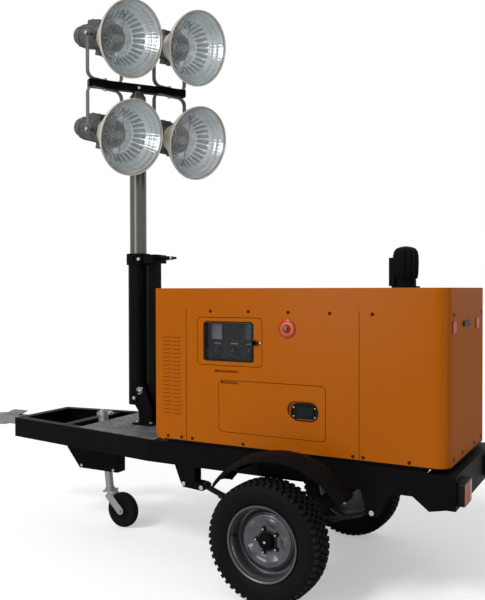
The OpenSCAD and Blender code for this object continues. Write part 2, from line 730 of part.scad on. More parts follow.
// Doors, each hung on a pin near its front edge that turns in the wall above and below
hinge_in = door_r;
hinge_deep = 3;
hinge_d = 4;
hinge_out = seam + 5;
hinge_fit = 0.1;
module hinge_line(x1, z0, h, d) {
    translate([x1 - hinge_in, canopy_y - hinge_deep, z0 - hinge_out])
        cylinder(h = h + 2 * hinge_out, d = d);
}
latch_l = 160;
latch_h = 86;
module service_door() color(ORANGE) difference() {
    union() {
        side_leaf(service_x0, service_z0, service_l, service_h, door_r);
        hinge_line(service_x1, service_z0, service_h, hinge_d);
    }
    // Recess of the latch near the rear edge, and the grip slot at the top
    translate([service_x0 + 36, canopy_y + 1, service_z0 + 96]) rotate([90, 0, 0])
        linear_extrude(slot_deep) round_rect(latch_l, latch_h, latch_h / 2 - 1);
    side_slot(grip_x1 - 133, grip_x1 - 35, service_z0 + service_h - 4 - slot_h);
}
module service_door_left() placed() service_door();
module service_door_right() placed() mirror([0, 1, 0]) service_door();
glass_t = 5;
pane_r = 8;
pane_x0 = window_x0 + window_frame;
pane_z0 = window_z0 + 0.5 * window_frame;
pane_l = window_l - 1.8 * window_frame;
pane_h = window_h - 1.1 * window_frame;
module control_door() placed() color(ORANGE) difference() {
    union() {
        side_leaf(window_x0, window_z0, window_l, window_h, door_r);
        hinge_line(window_x1, window_z0, window_h, hinge_d);
    }
    side_hole(pane_x0, pane_z0, pane_l, pane_h, pane_r, 0);
}
module control_window() placed() color(GLASS) translate([0, -12, 0])
    side_leaf(pane_x0 + seat, pane_z0 + seat, pane_l - 2 * seat, pane_h - 2 * seat, pane_r, glass_t);

// Mast
collar_d = sleeve_d + 22;
sleeve_collar_h = 67;
mast_seat = sleeve_low + 60;
module mast_sleeve() placed() color(BLACK) translate([mast_at, 0, 0]) difference() {
    union() {
        translate([0, 0, sleeve_low]) cylinder(h = sleeve_top - sleeve_low + 2, d = sleeve_d);
        translate([0, 0, sleeve_top]) cylinder(h = sleeve_collar_h, d = collar_d);
        // Lug of the clamp screw
        block([-20, sleeve_d / 2 - 2, sleeve_top + 18], [20, sleeve_d / 2 + 24, sleeve_top + 52]);
    }
    translate([0, 0, mast_seat]) cylinder(h = big, d = mast_d + 1);
    translate([-tilt_back, 0, 0]) cross_pin(0, tilt_up, tilt_pin_d + 0.4, -big, big);
}
module stage(i, low, high, collar) {
    d = mast_d - i * mast_step;
    translate([mast_at, 0, 0]) difference() {
        union() {
            translate([0, 0, low]) cylinder(h = high - low, d = d);
            if (collar > 0) translate([0, 0, high - collar]) cylinder(h = collar, d = d + 12);
        }
        translate([0, 0, low - 1]) cylinder(h = high - low + 2, d = d - 2 * mast_t);
    }
}
tube_low = mast_seat + seat;
collar_h = 13;
head_z = mast_top + 3 * collar_h + 2;
module mast_tube_1() placed() color(SILVER) stage(0, tube_low, mast_top, 0);
module mast_tube_2() placed() color(SILVER)
    stage(1, tube_low + 6, mast_top + collar_h, collar_h - seat);
module mast_tube_3() placed() color(SILVER)
    stage(2, tube_low + 12, mast_top + 2 * collar_h, collar_h - seat);
module mast_tube_4() placed() color(SILVER)
    stage(3, tube_low + 18, head_z, head_z - mast_top - 2 * collar_h - seat);

// Lamp head
bar_z = head_z + bar_s / 2;
pivot_up = bar_z + yoke_h;
pivot_low = bar_z - yoke_h;
// Lamps: [side of the bar along its heading, above or below it]
LAMPS = [[1, 1], [-1, 1], [1, -1], [-1, -1]];
module crossbar() placed() color(BLACK) translate([mast_at, 0, head_z])
    rotate([0, 0, bar_heading]) difference() {
        translate([-bar_l / 2, -bar_s / 2, 0]) cube([bar_l, bar_s, bar_s]);
        translate([-bar_l / 2 - 1, -bar_s / 2 + 4, 4]) cube([bar_l + 2, bar_s - 8, bar_s - 8]);
    }
arm_w = 30;
arm_t = 5;
pivot_d = 14;
// Draws its children with a lamp's pivot at the origin and the lamp facing +X, level
module at_lamp(k) {
    side = LAMPS[k][0];
    up = LAMPS[k][1];
    translate([mast_at + side * yoke_at * cos(bar_heading), side * yoke_at * sin(bar_heading),
        bar_z + up * yoke_h]) rotate([0, 0, lamp_heading]) children();
}
module yoke(up) {
    half = yoke_w / 2;
    foot = bar_s / 2 - yoke_h;
    for (s = [-1, 1]) translate([0, s * half, 0]) difference() {
        union() {
            block([-arm_w / 2, -arm_t / 2, up > 0 ? foot : 0],
                [arm_w / 2, arm_t / 2, up > 0 ? 0 : -foot]);
            cross_pin(0, 0, arm_w, -arm_t / 2, arm_t / 2);
        }
        cross_pin(0, 0, pivot_d + 0.6, -arm_t, arm_t);
    }
    block([-arm_w / 2, -half - arm_t / 2, up > 0 ? foot : -foot - arm_t],
        [arm_w / 2, half + arm_t / 2, up > 0 ? foot + arm_t : -foot]);
}
module lamp_yokes() placed() color(GREY)
    for (k = [0 : 3]) at_lamp(k) yoke(LAMPS[k][1]);

neck_back = -80;
neck_r = 84;
bell_back = 10;
bell_r = 92;
bell_t = 3;
rim_r = lamp_d / 2;
bell_edge = 10;
glass_ledge = 8;
module lamp_housing(k) placed() at_lamp(k) rotate([0, lamp_pitch, 0]) {
    color(GREY) turned([[0, -lamp_back], [34, -lamp_back + 4], [56, -lamp_back + 18],
        [66, -lamp_back + 44], [72, -lamp_back + 110], [74, neck_back], [neck_r, neck_back],
        [neck_r + 8, neck_back + 14], [bell_r + 4, -4], [bell_r + 4, bell_back - seat],
        [bell_r - 6, bell_back - seat], [bell_r - 6, -10], [neck_r - 8, neck_back + 12],
        [0, neck_back + 12]]);
    color(GREY) both_sides()
        cross_pin(0, 0, pivot_d, bell_r - 2, yoke_w / 2 + arm_t / 2 + 12);
    // Terminal cover on top, and a lug below
    color(GREY) block([-150, -34, 60], [-20, 34, 94]);
    color(GREY) block([-60, -12, -106], [-14, 12, -60]);
    // Lampholder and bulb
    color(SILVER) turned([[0, neck_back + 11], [30, neck_back + 11], [30, -20], [34, 10], [46, 60],
        [48, 110], [42, 150], [24, 178], [0, 186]]);
}
module lamp_reflector(k) placed() color(SILVER) at_lamp(k) rotate([0, lamp_pitch, 0])
    turned([[bell_r - 8, bell_back], [bell_r + 6, bell_back], [rim_r - 6, lamp_reach - 14],
        [rim_r, lamp_reach - 12], [rim_r, lamp_reach], [rim_r - bell_edge, lamp_reach],
        [rim_r - bell_edge, lamp_reach - bell_edge],
        [rim_r - bell_edge - glass_ledge, lamp_reach - bell_edge], [bell_r - 2, bell_back + 6],
        [bell_r - 8, bell_back + 6]]);
glass_rise = 34;
glass_t_lamp = 4;
glass_r = rim_r - bell_edge - seat;
dome_r = (glass_r * glass_r + glass_rise * glass_rise) / (2 * glass_rise);
module lamp_glass(k) placed() color(GLASS) at_lamp(k) rotate([0, lamp_pitch, 0])
    intersection() {
        translate([lamp_reach - bell_edge + glass_rise - dome_r, 0, 0]) difference() {
            sphere(r = dome_r, $fn = 180);
            sphere(r = dome_r - glass_t_lamp, $fn = 180);
        }
        translate([lamp_reach - bell_edge + seat, 0, 0]) rotate([0, 90, 0])
            cylinder(h = 2 * glass_rise, r = glass_r + 5);
    }

// Road wheels
module tyre() {
    half = tyre_w / 2;
    r = tyre_d / 2;
    turned_y([[rim_d / 2 - 15 + seat, -rim_w / 2 + 12], [rim_d / 2 - 2, -rim_w / 2 + 12],
        [rim_d / 2 + 6, -rim_w / 2 + 4], [rim_d / 2 + 40, -half], [r - 34, -half + 3], [r - 8, -half + 16],
        [r, -half + 26], [r, half - 26], [r - 8, half - 16], [r - 34, half - 3],
        [rim_d / 2 + 40, half], [rim_d / 2 + 6, rim_w / 2 - 4], [rim_d / 2 - 2, rim_w / 2 - 12],
        [rim_d / 2 - 15 + seat, rim_w / 2 - 12]]);
}
stud_pcd = 114;
stud_count = 5;
stud_hole_d = 16;
module wheel_rim() {
    // The outer face is towards +Y: hub, disc, and the barrel with its two flanges
    r = rim_d / 2;
    half = rim_w / 2;
    bore = spindle_d / 2 + hub_gap;
    difference() {
        turned_y([[bore, -hub_back], [44, -hub_back], [44, -20], [70, -20], [70, -6], [r - 62, -2],
            [r - 40, -14], [r - 24, -14], [r - 24, -half + 14], [r - 10, -half], [r, -half],
            [r, -half + 6], [r - 8, -half + 11], [r - 15, -half + 11], [r - 15, half - 11],
            [r - 8, half - 11], [r, half - 6], [r, half], [r - 10, half], [r - 24, half - 14],
            [r - 24, -4], [r - 38, -4], [r - 60, 8], [52, 4], [44, 12], [40, 34], [0, 36],
            [0, 30], [bore, 30]]);
        for (i = [0 : stud_count - 1]) rotate([0, i * 360 / stud_count, 0])
            cross_pin(0, stud_pcd / 2, stud_hole_d, -24, 24);
    }
}
module at_wheel(side) {
    translate([0, side * track_w / 2, axle_z]) mirror([0, side < 0 ? 1 : 0, 0]) children();
}
module tyre_left() placed() color(BLACK) at_wheel(1) tyre();
module tyre_right() placed() color(BLACK) at_wheel(-1) tyre();
module rim_left() placed() color(SILVER) at_wheel(1) wheel_rim();
module rim_right() placed() color(SILVER) at_wheel(-1) wheel_rim();

chassis_frame();
cross_members();
deck_plate();
tow_coupling();
jack_bracket();
jack_tube();
axle_beam();
leaf_springs();
spring_hangers();
mudguards();
rear_beam();
tail_lamps();
mast_foot();
mast_post();
canopy_floor();
canopy_left();
canopy_right();
canopy_front_wall();
canopy_rear_wall();
canopy_roof();
exhaust_outlet();
control_panel();
emergency_stop();
generator_set();
service_door_left();
service_door_right();
control_door();
control_window();
mast_sleeve();
mast_tube_1();
mast_tube_2();
mast_tube_3();
mast_tube_4();
crossbar();
lamp_yokes();
lamp_housing(0);  // lamp_housing_1
lamp_reflector(0);  // lamp_reflector_1
lamp_glass(0);  // lamp_glass_1
lamp_housing(1);  // lamp_housing_2
lamp_reflector(1);  // lamp_reflector_2
lamp_glass(1);  // lamp_glass_2
lamp_housing(2);  // lamp_housing_3
lamp_reflector(2);  // lamp_reflector_3
lamp_glass(2);  // lamp_glass_3
lamp_housing(3);  // lamp_housing_4
lamp_reflector(3);  // lamp_reflector_4
lamp_glass(3);  // lamp_glass_4
tyre_left();
rim_left();
tyre_right();
rim_right();
jack_leg();
jack_fork();
jack_wheel();
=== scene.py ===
"""Looks of the mobile light tower: finishes for its CAD nodes, and detailed pieces that ride on them.

Shapes are drawn in the trailer's own millimetres: X forward from the axle, Y left, Z up from the
ground. on_trailer() turns them into the row frame's metres.
"""
import json
import math
from math import cos, radians, sin, tau

import bpy
import bmesh
from mathutils import Matrix, Vector


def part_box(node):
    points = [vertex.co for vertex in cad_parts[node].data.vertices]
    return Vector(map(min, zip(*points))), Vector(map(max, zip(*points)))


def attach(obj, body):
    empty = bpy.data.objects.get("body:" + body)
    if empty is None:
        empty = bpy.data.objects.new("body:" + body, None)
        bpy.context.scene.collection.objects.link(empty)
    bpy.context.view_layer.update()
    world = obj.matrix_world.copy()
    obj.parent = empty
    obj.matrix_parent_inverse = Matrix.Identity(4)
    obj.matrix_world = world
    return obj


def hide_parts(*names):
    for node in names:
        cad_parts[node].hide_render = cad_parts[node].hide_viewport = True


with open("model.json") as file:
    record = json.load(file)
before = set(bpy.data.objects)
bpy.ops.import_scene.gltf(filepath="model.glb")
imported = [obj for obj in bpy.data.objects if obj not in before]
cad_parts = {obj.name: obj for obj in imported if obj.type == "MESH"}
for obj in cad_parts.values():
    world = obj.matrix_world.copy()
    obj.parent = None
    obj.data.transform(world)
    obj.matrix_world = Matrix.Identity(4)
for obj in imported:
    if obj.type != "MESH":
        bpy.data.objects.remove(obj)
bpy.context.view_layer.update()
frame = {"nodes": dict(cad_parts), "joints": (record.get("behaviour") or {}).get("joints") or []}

MM = 0.001
AXLE = (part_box("tyre_left")[0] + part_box("tyre_left")[1]) / 2
MILLIMETRES = Matrix.Scale(MM, 4)
METRES = MILLIMETRES.inverted()
TRAILER = Matrix.Translation((AXLE.x, 0, 0)) @ MILLIMETRES
JOINTS = {j["name"]: j for j in frame["joints"]}
SIDES = {"left": 1, "right": -1}
MAST_X = 1156
COLLAR_R, COLLAR_BOLTS_Z = 71, 1641
WIPER_Z = 2.6065
CROSSBAR_Z, CROSSBAR_SIDE, CROSSBAR_HALF, CROSSBAR_HEADING = 2648, 45, 300, 54
YOKE_AT = 202
LEVER_Z = 1645


def on_trailer(x=0, y=0, z=0):
    """Where a shape's own origin lies on the trailer."""
    return TRAILER @ Matrix.Translation((x, y, z))


def turn(degrees, axis):
    return Matrix.Rotation(radians(degrees), 4, axis)


# Camera


def make_camera():
    """The photograph's camera, as fitted to it."""
    focal_px = 743.45
    picture_long_side = 600
    yaw, pitch, roll = (radians(a) for a in (28.68, 0.86, -0.1))
    level_right = Vector((-cos(yaw), -sin(yaw), 0))
    level_ahead = Vector((sin(yaw), -cos(yaw), 0))
    up = Vector((0, 0, 1))
    ahead = level_ahead * cos(pitch) - up * sin(pitch)
    over = level_ahead * sin(pitch) + up * cos(pitch)
    right = level_right * cos(roll) + over * sin(roll)
    above = over * cos(roll) - level_right * sin(roll)
    camera = bpy.data.objects.new("camera", bpy.data.cameras.new("camera"))
    camera.data.sensor_width = 36
    camera.data.lens = focal_px * camera.data.sensor_width / picture_long_side
    axes = Matrix((right, above, -ahead)).transposed().to_4x4()
    axes.translation = TRAILER @ Vector((-1556.7, 3647.2, 1463.0))
    camera.matrix_world = axes
    bpy.context.scene.collection.objects.link(camera)
    bpy.context.scene.camera = camera


make_camera()


# Node trees


def put(tree, kind, inputs=None, **settings):
    """A new node with its settings, and its inputs set to values or joined to outputs."""
    node = tree.nodes.new(kind)
    for key, value in settings.items():
        setattr(node, key, value)
    for key, value in (inputs or {}).items():
        if isinstance(value, bpy.types.NodeSocket):
            tree.links.new(value, node.inputs[key])
        else:
            node.inputs[key].default_value = value
    return node


def sums(tree, operation, a, b=0.0, clamp=False):
    return put(tree, "ShaderNodeMath", {0: a, 1: b}, operation=operation, use_clamp=clamp).outputs[0]


def between(tree, value, from_low, from_high, to_low=0.0, to_high=1.0):
    """value spread from one range to another, and kept inside it."""
    return put(tree, "ShaderNodeMapRange", {"Value": value, "From Min": from_low, "From Max": from_high,
               "To Min": to_low, "To Max": to_high}).outputs["Result"]


def mixed(tree, share, a, b):
    """Colour a turning into colour b."""
    return put(tree, "ShaderNodeMix", {0: share, 6: a, 7: b}, data_type="RGBA").outputs[2]


def noise(tree, where, scale, detail=3.0, rough=0.5):
    return put(tree, "ShaderNodeTexNoise", {"Vector": where, "Scale": scale, "Detail": detail,
               "Roughness": rough}).outputs["Fac"]


def stretched(tree, where, x, y, z):
    return put(tree, "ShaderNodeMapping", {"Vector": where, "Scale": (x, y, z)}).outputs["Vector"]


def make_age_group():
    """Patches, dust on what faces up, and grain: shared by the painted and metal finishes."""
    tree = bpy.data.node_groups.new("age", "ShaderNodeTree")
    for name, kind in (("Paint", "Color"), ("Dirt", "Color"), ("Age", "Float"), ("Grain", "Float"),
                       ("Gloss", "Float"), ("Spread", "Float")):
        tree.interface.new_socket(name, in_out="INPUT", socket_type="NodeSocket" + kind)
    for name, kind in (("Colour", "Color"), ("Roughness", "Float"), ("Height", "Float")):
        tree.interface.new_socket(name, in_out="OUTPUT", socket_type="NodeSocket" + kind)
    given = put(tree, "NodeGroupInput").outputs
    place = put(tree, "ShaderNodeTexCoord").outputs
    patches = noise(tree, place["Object"], 2.6, 5.0, 0.6)
    grain = noise(tree, place["Object"], given["Grain"], 3.0, 0.55)
    streaks = noise(tree, stretched(tree, place["Object"], 34, 34, 2.5), 1.0, 3.0, 0.6)
    facing = put(tree, "ShaderNodeSeparateXYZ", {0: place["Normal"]}).outputs["Z"]
    lying = between(tree, facing, 0.2, 1.0)
    worn = sums(tree, "ADD", sums(tree, "MULTIPLY", patches, 0.7), sums(tree, "MULTIPLY", streaks, 0.45))
    worn = sums(tree, "ADD", worn, sums(tree, "MULTIPLY", lying, 0.25))
    worn = between(tree, worn, 0.45, 1.05)
    mask = sums(tree, "MULTIPLY", worn, given["Age"], clamp=True)
    colour = mixed(tree, mask, given["Paint"], given["Dirt"])
    speckle = between(tree, grain, 0.3, 0.7, 0.93, 1.07)
    colour = put(tree, "ShaderNodeVectorMath", {0: colour, 3: speckle}, operation="SCALE").outputs[0]
    rough = sums(tree, "ADD", given["Gloss"], sums(tree, "MULTIPLY", given["Spread"],
                 sums(tree, "ADD", mask, sums(tree, "SUBTRACT", grain, 0.5))), clamp=True)
    put(tree, "NodeGroupOutput", {"Colour": colour, "Roughness": rough, "Height": grain})
    return tree


AGE = make_age_group()


def object_place(tree):
    return put(tree, "ShaderNodeTexCoord").outputs["Object"]


def start_material(name):
    material = bpy.data.materials.new(name)
    material.use_nodes = True
    tree = material.node_tree
    tree.nodes.remove(tree.nodes["Principled BSDF"])
    return material, tree


def close_material(tree, colour, roughness, height=None, bump=0.0, depth=0.001, **shader):
    """The shader, with a bump from height if there is one. In its sockets' names _ stands for a space."""
    inputs = {key.replace("_", " "): value for key, value in shader.items()}
    inputs.update({"Base Color": colour, "Roughness": roughness})
    if height is not None:
        inputs["Normal"] = put(tree, "ShaderNodeBump", {"Strength": bump, "Distance": depth,
                               "Height": height}).outputs["Normal"]
    node = put(tree, "ShaderNodeBsdfPrincipled", inputs)
    tree.links.new(node.outputs[0], tree.nodes["Material Output"].inputs["Surface"])


def aged(tree, paint, dirt, age, grain, gloss, spread):
    return put(tree, "ShaderNodeGroup", {"Paint": (*paint, 1), "Dirt": (*dirt, 1), "Age": age,
               "Grain": grain, "Gloss": gloss, "Spread": spread}, node_tree=AGE).outputs


def touched(tree, out, mask, low, high, share, colour):
    """The aged colour, turned partly into another one where a mask runs from low to high."""
    return mixed(tree, between(tree, mask, low, high, 0.0, share), out["Colour"], (*colour, 1))


def plain_finish(name, paint, dirt, age=0.4, grain=300.0, gloss=0.4, spread=0.2, bump=0.15,
                 depth=0.0006, **shader):
    """A finish that needs no more than the shared age group."""
    material, tree = start_material(name)
    out = aged(tree, paint, dirt, age, grain, gloss, spread)
    close_material(tree, out["Colour"], out["Roughness"], out["Height"], bump, depth, **shader)
    return material


def canopy_paint():
    """Ochre powder coat: a little duller towards the rear, with a light orange peel."""
    material, tree = start_material("canopy_paint")
    out = aged(tree, (0.375, 0.092, 0.0012), (0.30, 0.070, 0.0012), 0.42, 420.0, 0.30, 0.16)
    place = object_place(tree)
    along = put(tree, "ShaderNodeSeparateXYZ", {0: place}).outputs["X"]
    colour = touched(tree, out, along, -0.45, -1.55, 0.45, (0.34, 0.086, 0.0012))
    close_material(tree, colour, out["Roughness"], noise(tree, place, 160.0, 2.0), 0.10, 0.0006,
                   Coat_Weight=0.14, Coat_Roughness=0.26, Specular_IOR_Level=0.0)
    return material


def tread_rubber():
    """Black rubber with grey dust on the blocks' outer faces."""
    material, tree = start_material("tread_rubber")
    out = aged(tree, (0.005, 0.005, 0.0054), (0.020, 0.0195, 0.019), 0.5, 260.0, 0.75, 0.15)
    dust = noise(tree, object_place(tree), 70.0, 4.0, 0.7)
    colour = touched(tree, out, dust, 0.4, 0.8, 0.4, (0.045, 0.045, 0.045))
    close_material(tree, colour, out["Roughness"], dust, 0.35, 0.001, Specular_IOR_Level=0.06)
    return material


def mast_metal():
    """Satin aluminium tube with fine upright drawing lines, and black wipers above the base tube."""
    material, tree = start_material("mast_metal")
    place = object_place(tree)
    lines = noise(tree, stretched(tree, place, 420, 420, 3), 1.0, 4.0, 0.7)
    out = aged(tree, (0.105, 0.103, 0.096), (0.05, 0.047, 0.042), 0.45, 260.0, 0.27, 0.12)
    colour = touched(tree, out, lines, 0.35, 0.7, 0.35, (0.07, 0.067, 0.062))
    height = put(tree, "ShaderNodeSeparateXYZ", {0: place}).outputs["Z"]
    wiper = between(tree, height, WIPER_Z, WIPER_Z + MM)
    colour = mixed(tree, wiper, colour, (0.012, 0.012, 0.013, 1))
    close_material(tree, colour, out["Roughness"], lines, 0.12, 0.0005,
                   Metallic=between(tree, wiper, 0, 1, 0.85, 0.0))
    return material


def deck_metal():
    """Worn grey chequer plate, bright where feet have rubbed it."""
    material, tree = start_material("deck_metal")
    rub = noise(tree, object_place(tree), 14.0, 5.0, 0.65)
    out = aged(tree, (0.045, 0.047, 0.05), (0.11, 0.105, 0.10), 0.7, 200.0, 0.5, 0.2)
    colour = touched(tree, out, rub, 0.42, 0.7, 0.8, (0.17, 0.18, 0.19))
    close_material(tree, colour, out["Roughness"], rub, 0.2, 0.001, Metallic=0.35)
    return material


def black_paint():
    """Satin black paint, dusty on top and rubbed grey in spots."""
    material, tree = start_material("black_paint")
    out = aged(tree, (0.0030, 0.0030, 0.0032), (0.010, 0.0095, 0.009), 0.5, 320.0, 0.42, 0.25)
    spots = noise(tree, object_place(tree), 46.0, 6.0, 0.75)
    colour = touched(tree, out, spots, 0.66, 0.74, 0.3, (0.12, 0.11, 0.10))
    close_material(tree, colour, out["Roughness"], out["Height"], 0.2, 0.0008, Specular_IOR_Level=0.03)
    return material


def reflector_metal():
    """Bright aluminium with a faint blue cast, cloudy, and with painted shade in the pressed valleys."""
    material, tree = start_material("reflector_metal")
    out = aged(tree, (0.76, 0.83, 0.85), (0.52, 0.575, 0.595), 0.55, 120.0, 0.15, 0.15)
    valley_shade = put(tree, "ShaderNodeAttribute", attribute_name="valley_shade").outputs["Fac"]
    # Painted shade: the deeper a point of the bell is pressed, the nearer its colour goes to dark (0.10,
    # 0.115, 0.12). This stands in for the shade and dark reflections in the flutes, rings and dimples.
    colour = touched(tree, out, valley_shade, 0.0, 1.0, 0.85, (0.10, 0.115, 0.12))
    close_material(tree, colour, out["Roughness"], out["Height"], 0.05, 0.0005, Metallic=0.9)
    return material


def rim_lacquer():
    """Grey lacquer with a fine metallic sparkle."""
    material, tree = start_material("rim_lacquer")
    flakes = noise(tree, object_place(tree), 900.0, 1.0)
    out = aged(tree, (0.08, 0.083, 0.09), (0.035, 0.034, 0.033), 0.5, 260.0, 0.26, 0.2)
    colour = touched(tree, out, flakes, 0.45, 0.7, 0.25, (0.16, 0.167, 0.18))
    close_material(tree, colour, out["Roughness"], flakes, 0.05, 0.0003, Metallic=0.65,
                   Coat_Weight=0.3, Coat_Roughness=0.1)
    return material


def lens_finish(name, paint, dirt):
    return plain_finish(name, paint, dirt, 0.4, 200, 0.2, Coat_Weight=0.15, Specular_IOR_Level=0.03)


def clear_glass(name, tint, body, edge, gloss):
    """Thin glass: nearly clear face on, and denser where it turns away."""
    material, tree = start_material(name)
    film = noise(tree, object_place(tree), 9.0, 4.0, 0.6)
    facing = put(tree, "ShaderNodeLayerWeight", {"Blend": 0.35}).outputs["Facing"]
    alpha = sums(tree, "ADD", between(tree, facing, 0.0, 1.0, body, edge),
                 between(tree, film, 0.4, 0.75, 0.0, 0.05), clamp=True)
    close_material(tree, (*tint, 1), between(tree, film, 0.3, 0.7, gloss, gloss + 0.06), Alpha=alpha,
                   Coat_Weight=0.5, Coat_Roughness=0.02)
    return material


PAINT = canopy_paint()
BLACK = black_paint()
MAST = mast_metal()
DECK = deck_metal()
TREAD = tread_rubber()
MIRROR = reflector_metal()
LACQUER = rim_lacquer()
LENS = clear_glass("lamp_glass", (0.80, 0.86, 0.90), 0.05, 0.40, 0.02)
WINDOW = clear_glass("smoked_window", (0.02, 0.022, 0.025), 0.25, 0.75, 0.03)
SPRING = plain_finish("spring_paint", (0.008, 0.008, 0.0085), (0.035, 0.032, 0.028), 0.6, 240, 0.5,
                      Specular_IOR_Level=0.15)
RUBBER = plain_finish("sidewall_rubber", (0.0045, 0.0045, 0.0048), (0.014, 0.0135, 0.013), 0.45, 380, 0.62,
                      bump=0.2, Specular_IOR_Level=0.05)
ZINC = plain_finish("zinc_plate", (0.36, 0.37, 0.38), (0.17, 0.165, 0.155), 0.6, 220, 0.42, 0.25,
                    Metallic=0.7)
BOLT = plain_finish("bright_bolt", (0.52, 0.52, 0.50), (0.24, 0.21, 0.18), 0.5, 500, 0.3, Metallic=0.9)
CAST = plain_finish("bare_casting", (0.25, 0.245, 0.235), (0.12, 0.10, 0.085), 0.6, 150, 0.6, 0.2,
                    0.45, 0.0015, Metallic=0.4)
LAMP_CAST = plain_finish("lamp_casting", (0.062, 0.066, 0.066), (0.13, 0.125, 0.115), 0.5, 170, 0.5,
                         0.2, 0.35, 0.001, Specular_IOR_Level=0.25)
NECK = plain_finish("spun_neck", (0.44, 0.41, 0.35), (0.24, 0.22, 0.19), 0.6, 60, 0.4, 0.2, Metallic=0.45)
YOKE = plain_finish("yoke_grey", (0.10, 0.096, 0.092), (0.19, 0.18, 0.165), 0.5, 260, 0.45,
                    Specular_IOR_Level=0.3)
PLASTIC = plain_finish("black_plastic", (0.004, 0.004, 0.0043), (0.018, 0.017, 0.016), 0.35, 700, 0.45,
                       Specular_IOR_Level=0.12)
PANEL = plain_finish("panel_face", (0.008, 0.009, 0.010), (0.025, 0.025, 0.025), 0.3, 500, 0.35,
                     Specular_IOR_Level=0.15)
DIAL = plain_finish("dial_white", (0.42, 0.46, 0.52), (0.24, 0.27, 0.3), 0.4, 60, 0.4)
DISPLAY = plain_finish("display_blue", (0.10, 0.14, 0.20), (0.05, 0.06, 0.09), 0.5, 60, 0.25)
STOP_RED = plain_finish("stop_red", (0.46, 0.030, 0.006), (0.26, 0.015, 0.005), 0.4, 200, 0.25,
                        Coat_Weight=0.2, Specular_IOR_Level=0.2)
STOP_PALE = plain_finish("stop_ring", (0.50, 0.13, 0.045), (0.34, 0.07, 0.025), 0.5, 160, 0.4)
STOP_DARK = plain_finish("stop_button", (0.20, 0.035, 0.02), (0.09, 0.02, 0.015), 0.4, 200, 0.3)
RED_LENS = lens_finish("red_lens", (0.42, 0.030, 0.008), (0.20, 0.015, 0.008))
AMBER_LENS = lens_finish("amber_lens", (0.40, 0.11, 0.01), (0.2, 0.06, 0.01))
WHITE_LENS = lens_finish("white_lens", (0.40, 0.41, 0.42), (0.25, 0.24, 0.23))
SCREW = plain_finish("canopy_screw", (0.055, 0.012, 0.004), (0.03, 0.01, 0.006), 0.4, 500, 0.5,
                     Specular_IOR_Level=0.05)
BULB = clear_glass("bulb_glass", (0.62, 0.66, 0.66), 0.16, 0.6, 0.03)
RIM_EDGE = plain_finish("rim_edge", (0.60, 0.56, 0.46), (0.34, 0.31, 0.26), 0.4, 200, 0.35, Metallic=0.5)
SOOT = plain_finish("neck_inside", (0.045, 0.042, 0.038), (0.09, 0.08, 0.07), 0.5, 200, 0.6)
ENGINE = plain_finish("engine_grey", (0.10, 0.105, 0.10), (0.05, 0.045, 0.04), 0.6, 150, 0.6)

NODE_FINISH = (
    (BLACK, "chassis_frame cross_members jack_bracket axle_beam spring_hangers mudguards rear_beam "
            "tail_lamps mast_foot mast_post mast_sleeve crossbar canopy_floor exhaust_outlet"),
    (PAINT, "canopy_left canopy_right canopy_front_wall canopy_rear_wall canopy_roof "
            "service_door_left service_door_right control_door"),
    (ZINC, "jack_tube jack_leg jack_fork"),
    (RUBBER, "tyre_left tyre_right jack_wheel"),
    (LACQUER, "rim_left rim_right"),
    (MAST, "mast_tube"), (YOKE, "lamp_yokes"),
    (LAMP_CAST, "lamp_housing"), (MIRROR, "lamp_reflector"), (LENS, "lamp_glass"),
    (DECK, "deck_plate"), (CAST, "tow_coupling"), (SPRING, "leaf_springs"), (ENGINE, "generator_set"),
    (PANEL, "control_panel"), (WINDOW, "control_window"), (STOP_RED, "emergency_stop"))


def dress_nodes():
    """Gives each CAD node its finish. Nodes that differ only in their number share one."""
    finish_of = {stem: finish for finish, stems in NODE_FINISH for stem in stems.split()}
    for name, node in frame["nodes"].items():
        node.data.materials.clear()
        node.data.materials.append(finish_of[name.rstrip("_1234")])


dress_nodes()


# Drawing


def polar(r, angle):
    return r * cos(angle), r * sin(angle)


def arc(x, y, r, start, end, steps):
    """Points round a centre, from one angle to another in degrees."""
    angles = (radians(start + (end - start) * i / steps) for i in range(steps + 1))
    return [(x + r * cos(a), y + r * sin(a)) for a in angles]


